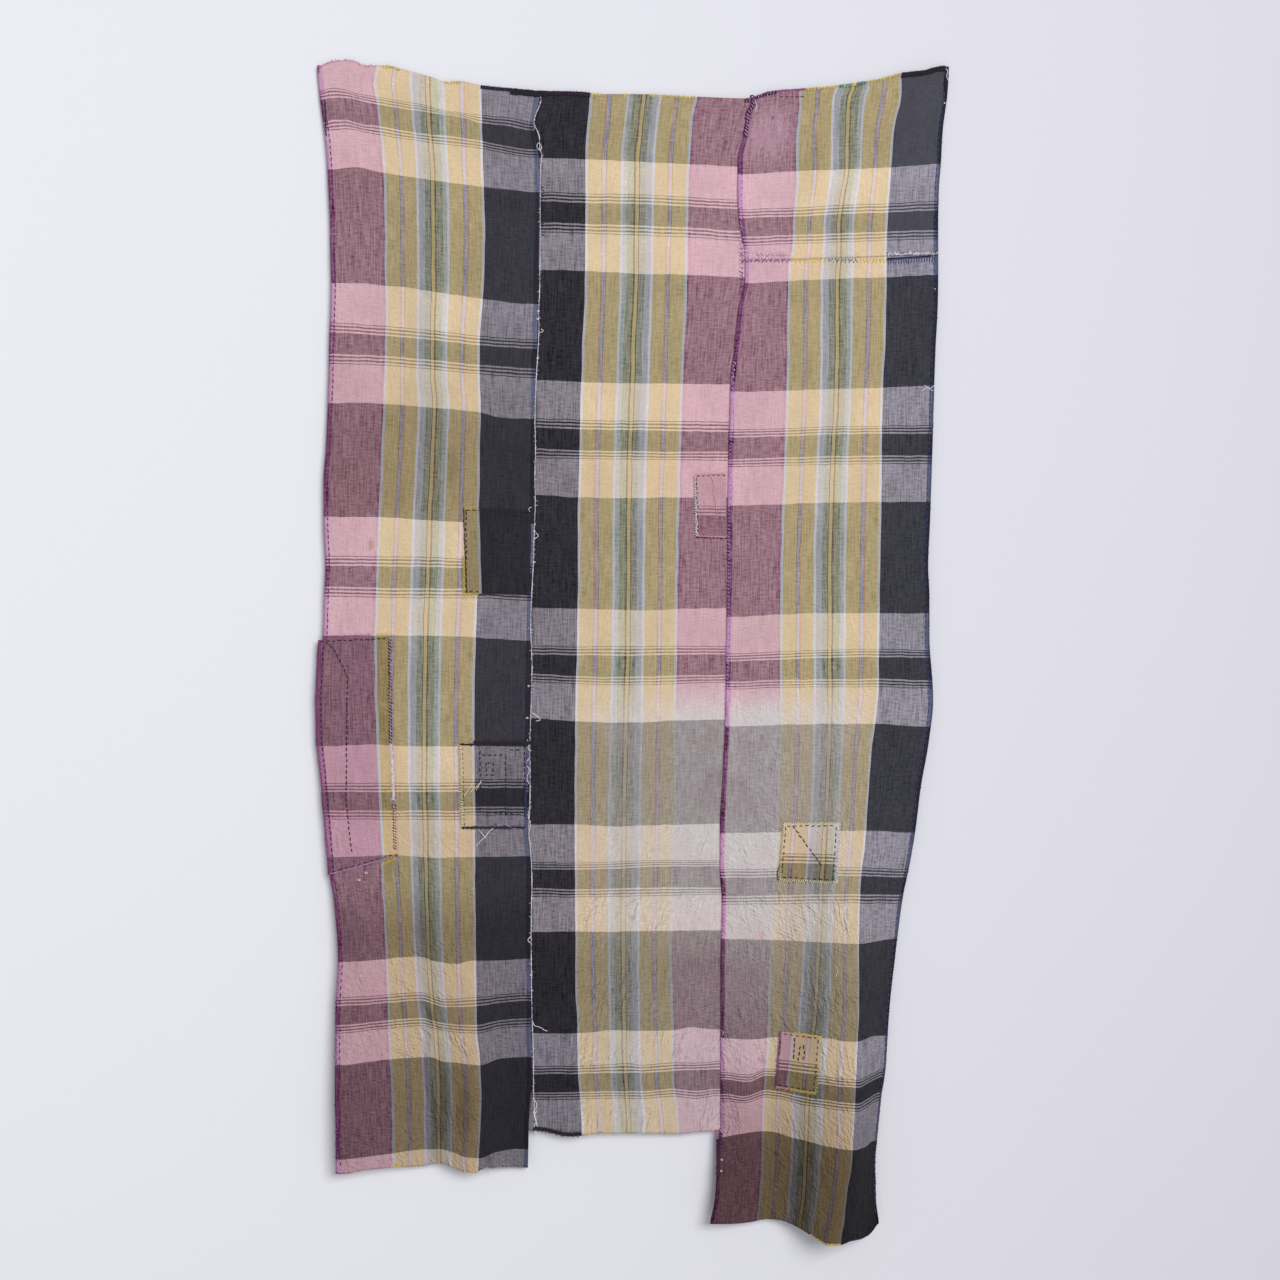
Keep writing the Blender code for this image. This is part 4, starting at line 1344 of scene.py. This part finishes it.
def stitches(path, base, pitch=7.0, size=4.2, lean=0.0, shift=0.0, thick=0.45):
    """Stitches along a path, each a low arch. They lean from its heading: 0 is running stitch, 60 whipping."""
    strands = []
    thick, size = thick * BULK, size * STITCH_LENGTH
    pitch = pitch * (LEANING_PITCH if lean else RUNNING_PITCH)
    for x, z, heading in paced(path, pitch):
        # No two stitches are quite alike in heading, length or place.
        turn = heading + math.radians(lean) + CHANCE.normal(0.0, 0.12)
        half = size * CHANCE.uniform(0.35, 0.62)
        side = shift + CHANCE.normal(0.0, 0.25)
        x, z = x - math.sin(heading) * side, z + math.cos(heading) * side
        arch = [
            (x + math.cos(turn) * half * at, z + math.sin(turn) * half * at, base + thick * rise, thick)
            for at, rise in ((-1.0, -0.4), (-0.45, 0.9), (0.45, 0.9), (1.0, -0.4))
        ]
        strands.append(np.array(arch))
    return strands


def strand(points, base, thick=0.45, twist=0.0):
    """A thread that wanders over the cloth through some points, its corners cut round twice."""
    line = np.asarray(points, float)
    thick = thick * BULK if thick < ROLL_FROM else thick
    for _ in range(2):
        behind, ahead = line[:-1] * 0.75 + line[1:] * 0.25, line[:-1] * 0.25 + line[1:] * 0.75
        line = np.vstack((line[:1], np.stack((behind, ahead), axis=1).reshape(-1, 2), line[-1:]))
    beat = np.sin(np.arange(len(line)) * 1.7) * 0.5 + 0.5
    lift = base + thick * (0.6 + beat)
    width = thick * (1.0 + twist * CHANCE.uniform(-1.0, 1.0, len(line)))
    return [np.column_stack((line, lift, width))]


def fray(path, base, aim, pitch=2.2, size=5.0, spread=35.0, thick=0.22):
    """Loose fibres that leave a path at about an angle from its heading, and curl."""
    strands = []
    thick = thick * BULK
    for x, z, heading in paced(path, pitch):
        turn = heading + math.radians(aim + CHANCE.normal(0.0, spread))
        bend = CHANCE.normal(0.0, 0.5)
        step = size * CHANCE.uniform(0.25, 1.0) / 3.0
        fibre = [(x, z, base, thick)]
        for part in range(3):
            x, z = x + math.cos(turn) * step, z + math.sin(turn) * step
            turn += bend
            fibre.append((x, z, base + thick * (1.0 + part) * 0.6, thick * (1.0 - 0.2 * part)))
        strands.append(np.array(fibre))
    return strands


def knot(x, z, base, size=2.4, thick=0.42):
    """A small tangled knot with a loop."""
    turns = np.linspace(0.0, 4.5 * math.pi, 20) + CHANCE.uniform(0.0, 6.0)
    reach = size * (0.45 + 0.55 * np.abs(np.sin(turns * 0.61)))
    lift = base + thick * (1.0 + 0.8 * np.sin(turns * 1.3))
    loops = (x + reach * np.cos(turns), z + reach * np.sin(turns) * 0.8, lift, np.full(20, thick))
    return [np.column_stack(loops)]


def sew_seams(threads):
    """The two long seams and the cross seam."""
    threads["white"] += strand(SEAM_ONE_THREAD, CLOTH, 0.32, 0.6)
    threads["white"] += fray(SEAM_ONE_THREAD, CLOTH, 0.0, 7.0, 4.5, 70.0, 0.25)
    threads["lilac"] += stitches(SEAM_ONE_THREAD, CLOTH - 0.4, 9.0, 4.0, 20.0, 0.4, 0.3)
    for top, bottom in ((-145.6, -172.8), (-198.4, -224.0)):
        threads["dark"] += stitches(((-144.8, top), (-144.8, bottom)), CLOTH, 4.0, 3.6, 70.0)
    for points in SEAM_LOOPS:
        threads["white"] += strand(points, CLOTH + 0.6, 0.4)
    for x, z in SEAM_KNOTS:
        threads["white"] += knot(x, z, CLOTH + 0.3, 1.8)

    line = np.array(SEAM_TWO_THREAD)
    for top, bottom, colour, over, heavy in SEAM_TWO_RUNS:
        z = np.linspace(top, bottom, 24)
        part = np.stack((np.interp(-z, -line[:, 1], line[:, 0]) + TWO_ASIDE, z), axis=1)
        if heavy:
            threads[colour] += stitches(part, ON_LAP - 0.4, 2.2, 6.6, 52.0, thick=0.6)
            threads[over] += stitches(part, ON_LAP + 0.7, 4.6, 4.6, 52.0, 0.2, 0.42)
        else:
            threads[colour] += stitches(part, ON_LAP - 0.5, 5.2, 4.0, 60.0, thick=0.34)
            threads[over] += stitches(part, ON_LAP - 0.3, 9.0, 2.6, 10.0, 2.2, 0.3)

    for colour, start, end, pitch in CROSS_FRAYS:
        part = part_of(RAW_EDGE, start, end) - (0.0, 3.2)
        threads[colour] += fray(part, CLOTH, 70.0, 1.4, 7.0, 50.0, 0.3)
        threads["white"] += fray(part, CLOTH + 0.4, 80.0, pitch, 7.0, 60.0, 0.34)
    for start, end, upper, lower, middle, base in CROSS_RUNS:
        part = part_of(SEWN_LINE, start, end)
        threads[upper] += stitches(part + (0.0, 1.6), base, 4.6, 3.2, 74.0, thick=0.5)
        threads[lower] += stitches(part - (0.0, 2.4), base, 5.6, 2.2, 80.0, thick=0.42)
        threads[middle] += stitches(part, base, 9.0, 2.4, 30.0, thick=0.4)
    part = part_of(SEWN_LINE, *DARK_RUN) + ((0.0, 0.0), (0.0, 6.0))
    threads["dark"] += strand(part + (0.0, 3.0), CLOTH, 1.2, 0.3)
    threads["blue"] += strand(part + (0.0, 1.6), CLOTH, 0.8, 0.3)
    threads["blue"] += stitches(part - (0.0, 2.2), CLOTH, 3.6, 7.0, 84.0, thick=0.42)
    threads["pink"] += knot(184, -264, ON_LAP, 3.4, 0.6)
    threads["white"] += strand(((169.6, -251.2), (179.2, -248), (190.4, -252.8), (185.6, -260.8)), ON_LAP, 0.4)


def sew_patches(threads):
    """The stitches that hold and quilt the patches, and their frayed edges."""
    for name, rows in PATCH_ROWS.items():
        for side, inset, colour, pitch, size, lean, thick in rows:
            threads[colour] += stitches(rim(name, side, inset), ON_PATCH, pitch, size, lean, thick=thick)
    for colour, points in QUILTING:
        threads[colour] += stitches(points, ON_PATCH, 6.0, 4.4, thick=0.56)

    # The tall patch's right-hand side.
    threads["lilac"] += strand(((-389.6, -867.2), (-387.2, -920), (-389.6, -968), (-388, -1040)), ON_PATCH, 0.5, 0.3)
    threads["dark"] += stitches(TORN_SIDE, ON_PATCH + 0.3, 4.6, 4.8, 50.0, thick=0.62)
    threads["white"] += fray(TORN_SIDE, ON_PATCH + 0.9, 0.0, 2.0, 2.4, 70.0, 0.2)
    threads["lilac"] += fray(WORN_SIDE, ON_PATCH - 0.4, 0.0, 1.8, 5.0, 60.0, 0.35)
    threads["white"] += fray(WORN_SIDE, ON_PATCH, 0.0, 0.9, 5.0, 60.0, 0.36)
    threads["white"] += stitches(((-387.2, -1044.8), WORN_SIDE[1]), ON_PATCH, 3.4, 4.4, 50.0, thick=0.45)
    worn_foot = (FOOT_SIDE[0], (-381.6, -1160), (-382.4, -1185.6), FOOT_SIDE[1])
    threads["cream"] += strand(worn_foot, ON_PATCH, 0.4, 0.3)
    threads["purple"] += stitches(FOOT_SIDE, ON_PATCH + 0.3, 4.0, 4.4, 58.0, thick=0.5)

    for points in GOLD_RUNS:
        threads["gold"] += stitches(points, ON_PATCH, 2.6, 4.2, 50.0, thick=0.42)
    threads["magenta"] += stitches(((-492.8, -867.2), (-417.6, -864.5)), ON_PATCH - 0.4, 2.8, 3.2, 60.0, thick=0.32)
    threads["rose"] += stitches(((228.8, -1587.2), (249.6, -1590.7)), ON_PATCH, 2.6, 4.2, 50.0, thick=0.42)
    for drop in ROLL_DROPS:
        threads["dark"] += strand(TURNED_HEM + np.array((0.0, drop)), ON_PATCH - 0.8, 1.6, 0.3)
    for colour, x, z in PATCH_KNOTS:
        threads[colour] += knot(x, z, ON_PATCH - 0.6, 2.2, 0.5)
    for colour, points in TAILS:
        threads[colour] += strand(points, ON_PATCH, 0.4)
    threads["lilac"] += fray(rim("patch_pink", "left", 0.0), ON_PATCH - 0.6, 180.0, 1.6, 4.0, 40.0)
    threads["rose"] += fray(rim("patch_pink", "bottom", 0.6), ON_PATCH - 0.8, -90.0, 2.4, 2.6, 30.0)
    threads["cream"] += fray(rim("patch_blue_grey", "left", 0.0), ON_PATCH - 0.8, 180.0, 1.8, 4.5, 40.0)
    threads["cream"] += fray(rim("patch_striped", "bottom", 0.0), ON_PATCH - 0.8, -90.0, 1.8, 3.6, 30.0)
    threads["gold"] += fray(((252, -1591.4), (294.1, -1598.1)), ON_PATCH - 0.8, -90.0, 1.5, 4.6, 30.0)


def finish_edges(threads):
    """Rolled and overcast top, hems, selvedge stitches, and loose yarn here and there."""
    for start, end, colour, thick, over in ROLLS:
        for turn in range(3 if thick > 0.9 else 1):
            path = edge(TOP_EDGE, start, end, -thick * (0.5 + 1.3 * turn))
            threads[colour] += strand(path, ROLL_BASE, thick, 0.3)
        middle = edge(TOP_EDGE, start, end, -thick * 1.6)
        base, size = ROLL_BASE + thick * 1.9, 2.0 + thick * 2.4
        threads[over] += stitches(middle, base, 4.4, size, 60.0, thick=0.4)
        threads[colour] += stitches(middle, base, 3.4, size, 50.0, thick=0.45)

    # The torn left end of the top, and odd threads along the rest of it.
    threads["coral"] += fray(edge(TOP_EDGE, -506, -412, -1.0), 0.8, 90.0, 1.4, 5.5, 45.0)
    threads["pink"] += fray(edge(TOP_EDGE, -504, -415, -0.5), 0.6, 90.0, 1.2, 4.0, 50.0)
    threads["magenta"] += fray(((-505.6, 46.4), (-504, 36.8)), CLOTH, 60.0, 0.8, 6.0, 60.0, 0.3)
    threads["white"] += strand(((-299.2, 14.4), (-294.4, 19.2), (-289.6, 24)), CLOTH, 0.4)
    threads["lilac"] += stitches(((-241.6, 4.8), (-187.2, 4.8)), CLOTH, 5.5, 3.8)
    threads["white"] += strand(((195.2, -9.6), (198.4, -17.6), (195.2, -25.6)), ON_LAP, 0.4)
    threads["purple"] += knot(190.4, -3.2, ON_LAP, 3.4, 1.0)
    threads["purple"] += stitches(((233.6, -3.2), (272, -2.4)), CLOTH, 5.5, 4.0)
    threads["white"] += strand(((496, 40), (500.8, 43.2), (504, 36.8), (500.8, 30.4), (504, 24)), CLOTH, 0.5)
    threads["dark"] += stitches(((500, 30.4), (499.2, 4.8)), CLOTH, 2.6, 4.6, 50.0, thick=0.7)
    threads["white"] += knot(498.2, -12.8, CLOTH, 1.2, 0.5)

    # Hems: frayed, or rolled where they are strands.
    hems = (
        (fray, "pink", LEFT_HEM, -476, -386, 1.0, 0.6, -90.0, 1.4, 3.6, 45.0),
        (strand, "magenta", LEFT_HEM, -476, -452, 0.6, CLOTH - 0.6, 0.35, 0.3),
        (strand, "gold", LEFT_HEM, -388, -372, 0.8, CLOTH - 0.5, 0.7, 0.3),
        (strand, "gold", LEFT_HEM, -270, -248, 0.8, CLOTH - 0.5, 0.8, 0.3),
        (fray, "cream", LEFT_HEM, -386, -246, 0.8, 0.6, -90.0, 2.6, 3.0, 40.0),
        (fray, "white", LEFT_HEM, -244, -170, 1.0, 0.8, -90.0, 1.6, 4.6, 50.0, 0.25),
        (fray, "dark", LEFT_HEM, -244, -170, 1.0, 0.8, -90.0, 1.6, 4.0, 50.0, 0.28),
        (strand, "dark", MIDDLE_HEM, -158, -84, 1.6, CLOTH - 0.2, 2.2, 0.35),
        (strand, "dark", MIDDLE_HEM, -158, -84, 4.2, CLOTH - 0.4, 1.6, 0.45),
        (fray, "dark", MIDDLE_HEM, -160, -84, 2.4, 1.6, -80.0, 0.8, 7.0, 60.0, 0.34),
        (fray, "dark", MIDDLE_HEM, -158, -84, 3.0, CLOTH, 80.0, 1.6, 4.5, 60.0, 0.3),
        (fray, "gold", MIDDLE_HEM, -82, 70, 0.8, 0.6, -90.0, 1.6, 3.4, 40.0),
        (fray, "coral", MIDDLE_HEM, 62, 136, 1.0, 0.6, -90.0, 2.4, 3.4, 40.0, 0.18),
        (strand, "gold", RIGHT_HEM, 284, 332, 1.0, CLOTH - 0.4, 0.7, 0.4),
        (fray, "magenta", RIGHT_HEM, 124, 200, 0.8, 0.6, -90.0, 2.4, 3.0, 40.0),
        (fray, "cream", RIGHT_HEM, 200, 274, 0.8, 0.6, -90.0, 2.4, 3.0, 40.0),
        (strand, "dark", RIGHT_HEM, 336, 384, 1.0, CLOTH - 0.3, 1.0, 0.3),
    )
    for work, colour, hem, start, end, shift, *rest in hems:
        threads[colour] += work(edge(hem, start, end, shift), *rest)

    # Selvedges are turned in and sewn down with running stitch.
    threads["purple"] += stitches(stripe("left", 6.6, -12, -868), CLOTH, 6.4, 4.0)
    threads["purple"] += stitches(stripe("left", 7.4, -1255, -1716), CLOTH, 7.5, 4.0)
    threads["magenta"] += stitches(stripe("left", 2, -1230, -1716), CLOTH - 0.3, 5.4, 4.0, 40.0, thick=0.32)
    threads["purple"] += fray(stripe("left", 1, -1450, -1716), CLOTH - 0.2, 180.0, 3.0, 5.0, 60.0)
    threads["dark"] += stitches(((-492.8, -8), (-491.2, -64)), CLOTH, 5.0, 4.6, 20.0, thick=0.6)
    threads["blue"] += stitches(stripe("right", 330, 8, -1800), CLOTH, 6.8, 4.0)
    threads["dark"] += stitches(stripe("right", 334.6, 20, -1800), CLOTH - 0.2, 4.2, 4.0, -30.0, thick=0.35)
    for points in SELVEDGE_TAILS:
        threads["white"] += strand(points, CLOTH, 0.35)
    for x, z in SELVEDGE_KNOTS:
        threads["white"] += knot(x, z, CLOTH, 0.9, 0.35)


def thread_piece(name, strands, material):
    """All the threads of one colour, as one piece."""
    ends = np.vstack(strands)
    points = np.column_stack((lay(ends[:, 0], ends[:, 1], ends[:, 2]), np.ones(len(ends))))
    curve = bpy.data.curves.new(name, "CURVE")
    curve.dimensions = "3D"
    curve.bevel_depth = MM
    curve.bevel_resolution = 0
    curve.use_fill_caps = True
    start = 0
    for line in strands:
        spline = curve.splines.new("POLY")
        spline.points.add(len(line) - 1)
        spline.points.foreach_set("co", points[start : start + len(line)].ravel())
        spline.points.foreach_set("radius", line[:, 3])
        start += len(line)
    drawn = bpy.data.objects.new(name + "_line", curve)
    mesh = bpy.data.meshes.new_from_object(drawn)
    bpy.data.objects.remove(drawn)
    mesh.materials.clear()
    mesh.materials.append(material)
    mesh.shade_smooth()
    piece = bpy.data.objects.new(name, mesh)
    bpy.context.scene.collection.objects.link(piece)
    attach(piece, "root")


def thread_cotton(name, hue):
    """Two-ply cotton thread. The eye sees matt yarn, a little darker and lighter along its twist."""
    material = bpy.data.materials.new(name)
    material.use_nodes = True
    tree = material.node_tree
    shader = tree.nodes["Principled BSDF"]
    place = add(tree, "TexCoord", out="Object")
    ply = add(tree, "TexNoise", {"Vector": place, "Scale": 400.0, "Detail": 1.0})
    shade = add(tree, "MapRange", {0: ply, 1: 0.3, 2: 0.7, 3: 0.7, 4: 1.15})
    shaded = add(tree, "CombineColor", {0: shade, 1: shade, 2: shade})
    dyed = add(tree, "Mix", {0: 1.0, 6: linear(hue), 7: shaded}, out=2, **TINTED)
    tree.links.new(dyed, shader.inputs["Base Color"])
    shader.inputs["Roughness"].default_value = 0.9
    shader.inputs["Specular IOR Level"].default_value = 0.15
    shader.inputs["Sheen Weight"].default_value = 0.1
    return material


def build_threads():
    """Every thread, gathered by colour."""
    threads = {colour: [] for colour in THREAD_COLOURS}
    sew_seams(threads)
    sew_patches(threads)
    finish_edges(threads)
    for colour, hue in THREAD_COLOURS.items():
        thread_piece(f"thread_{colour}", threads[colour], thread_cotton(f"cotton_thread_{colour}", hue))


# The lengths: which runs of the chart they follow, top edge, hem, shifts of both, dye lot with its painted sheen,
# flat size in metres.
LENGTHS = {
    "panel_left": ("left", TOP_EDGE, LEFT_HEM, 0.0, 0.0, "left", (0.336, 1.77)),
    "panel_middle": ("middle", TOP_EDGE, MIDDLE_HEM, 0.0, 0.0, "middle", (0.32, 1.67)),
    "panel_right_top": ("right", TOP_EDGE, CROSS_SEAM, 0.0, SEAM_GAP / 2.0, "right_top", (0.336, 0.31)),
    "panel_right": ("right", CROSS_SEAM, RIGHT_HEM, -SEAM_GAP / 2.0, 0.0, "right", (0.336, 1.56)),
}

# Two patches are cut beside the blue selvedge, which is turned under.
BLACK_ENDED = (*WARP[:-2], (CHART_WIDE, *BLACK_WARP))

# Patches: window on the chart, warp, tints of light and dark weft, slot, flat size in metres, what is under it.
PATCH_CLOTHS = {
    "patch_dark": (
        (223, 20, 333, 157), BLACK_ENDED, "FFFFFF", "E0DEDC", "dark_patch_cotton", (0.109, 0.137), "panel_left",
    ),
    "patch_mauve": (
        None, MAUVE_WARP, "FFFFFF", "FFFFFF", "mauve_patch_cotton", (0.125, 0.375), "panel_left",
    ),
    "patch_blue_grey": (
        (225, 176, 335, 325), BLACK_ENDED, "E4E4E4", "DEDEDE", "dark_patch_cotton", (0.108, 0.135), "panel_left",
    ),
    "patch_pink": (
        (20, 187, 72, 289), WARP, "E6DEE2", "F4ECF0", "mauve_patch_cotton", (0.052, 0.101), "panel_middle",
    ),
    "patch_striped": (
        (99, 187, 189, 283), WARP, "F2F0F6", "E0DCD8", "striped_patch_cotton", (0.092, 0.094), "panel_right",
    ),
    "patch_tilted": (
        (70, 193, 136, 283), WARP, "DCD8DC", "BEB8B4", "striped_patch_cotton", (0.066, 0.092), "panel_right",
    ),
}


def build_cloth():
    """The four lengths and six patches."""
    shades = {}
    for lot, (selvedge, black) in DYE_LOTS_AND_SHEEN.items():
        length = lot.split("_")[0]
        # Each lot's black warp brings its painted sheen with it.
        dyed = ((WARP[0][0], *selvedge), *WARP[1:-2], (WARP[-2][0], *black), WARP[-1])
        shades[lot] = cotton(f"hand_woven_cotton_{lot}", TONES[length], dyed, stains_and_shadows=STAINS_AND_SHADOWS[length])
    for name, (length, top, hem, top_shift, hem_shift, lot, flat) in LENGTHS.items():
        mesh = length_mesh(name, length, top, hem, top_shift, hem_shift)
        cloth_piece(name, mesh, CLOTH, shades[lot])
    plain = [(end, "FFFFFF", "FFFFFF", 0.0) for end in (TONE_TOP, TONE_BOTTOM)]
    for name, (window, warp, tint, dark_tint, slot, flat, under) in PATCH_CLOTHS.items():
        material = cotton(f"hand_woven_cotton_{name}", plain, warp, tint, dark_tint, fading=False)
        cloth_piece(name, patch_mesh(name, window), PATCH_CLOTH, material)


# The studio, in metres: how far the wall and floor reach, and where the floor, the wall's top and its face lie.
REACH, FLOOR_AT, WALL_TOP, WALL_AT = 12.0, -2.4, 6.0, 0.0015
# The wall's light falls off along this direction, from here to there.
FALL_OFF, FALL_FROM, FALL_TO = (1.0, 0.0, 0.12), -1.2, 1.9
LAMP_AT, LAMP_AIM = (3.2, -6.5, 1.8), (-0.1, 0.0, -0.8)
LAMP_SIZE, LAMP_WATTS, SKY_STRENGTH = (4.4, 3.4), 450.0, 0.325
FILM = 36.0
PHOTO_WIDE = 1280 * 1.6  # the photograph is 1280 pixels wide at 1.6 mm a pixel, seen from the eye point


def backdrop(name, corners, material):
    """A plain sheet of the studio, from its corners."""
    bm = bmesh.new()
    bm.faces.new([bm.verts.new(Vector(corner)) for corner in corners])
    mesh = bpy.data.meshes.new(name)
    bm.to_mesh(mesh)
    bm.free()
    mesh.materials.append(material)
    sheet = bpy.data.objects.new(name, mesh)
    bpy.context.scene.collection.objects.link(sheet)
    return sheet


def painted(name, colour, far_colour=None, seen_from_behind=True):
    """Matt paint, pale and even. With a far colour, the studio's light falls off to it towards the right."""
    material = bpy.data.materials.new(name)
    material.use_nodes = True
    tree = material.node_tree
    shader = tree.nodes["Principled BSDF"]
    shader.inputs["Base Color"].default_value = linear(colour)
    shader.inputs["Roughness"].default_value = 0.95
    shader.inputs["Specular IOR Level"].default_value = 0.0
    if far_colour:
        place = add(tree, "TexCoord", out="Object")
        falling = add(tree, "VectorMath", {0: place, 1: FALL_OFF}, out="Value", operation="DOT_PRODUCT")
        share = add(tree, "MapRange", {0: falling, 1: FALL_FROM, 2: FALL_TO})
        shade = add(tree, "Mix", {0: share, 6: linear(colour), 7: linear(far_colour)}, out=2, **COLOURED)
        tree.links.new(shade, shader.inputs["Base Color"])
    if not seen_from_behind:
        back = add(tree, "NewGeometry", out="Backfacing")
        clear = add(tree, "BsdfTransparent")
        both = add(tree, "MixShader", {0: back, 1: shader.outputs[0], 2: clear})
        tree.links.new(both, tree.nodes["Material Output"].inputs["Surface"])
    return material


def build_stage():
    """A pale wall close behind the cloth, which only shows from its front, and a pale floor well below."""
    plaster = painted("matt_white_plaster", "F3F4F8", "BAB8C4", seen_from_behind=False)
    paint = painted("pale_floor_paint", "ECEBF0")
    sides = ((-REACH, FLOOR_AT), (REACH, FLOOR_AT), (REACH, WALL_TOP), (-REACH, WALL_TOP))
    wall = backdrop("wall", [(x, WALL_AT, z) for x, z in sides], plaster)
    wall.visible_diffuse = False
    wall.visible_shadow = False
    sides = ((-REACH, -REACH), (REACH, -REACH), (REACH, REACH), (-REACH, REACH))
    backdrop("floor", [(x, y, FLOOR_AT) for x, y in sides], paint)

    scene = bpy.context.scene
    scene.world = bpy.data.worlds.new("soft_white_studio")
    scene.world.use_nodes = True
    sky = scene.world.node_tree.nodes["Background"]
    sky.inputs["Color"].default_value = linear("FBFBFF")
    sky.inputs["Strength"].default_value = SKY_STRENGTH

    key = bpy.data.lights.new("key", "AREA")
    key.shape = "RECTANGLE"
    key.size, key.size_y = LAMP_SIZE
    key.energy = LAMP_WATTS
    lamp = bpy.data.objects.new("key", key)
    lamp.location = LAMP_AT
    aim = Vector(LAMP_AIM) - lamp.location
    lamp.rotation_euler = aim.to_track_quat("-Z", "Y").to_euler()
    scene.collection.objects.link(lamp)

    camera = bpy.data.cameras.new("camera")
    camera.sensor_width = FILM
    camera.lens = FILM * EYE_DISTANCE / PHOTO_WIDE
    camera.clip_end = 100.0
    eye = bpy.data.objects.new("camera", camera)
    eye.location = (EYE_X * MM, -EYE_DISTANCE * MM, EYE_HEIGHT * MM)
    eye.rotation_euler = (math.radians(90.0), 0.0, 0.0)
    scene.collection.objects.link(eye)
    scene.camera = eye
    scene.view_settings.view_transform = "Standard"


build_cloth()
build_threads()
build_stage()
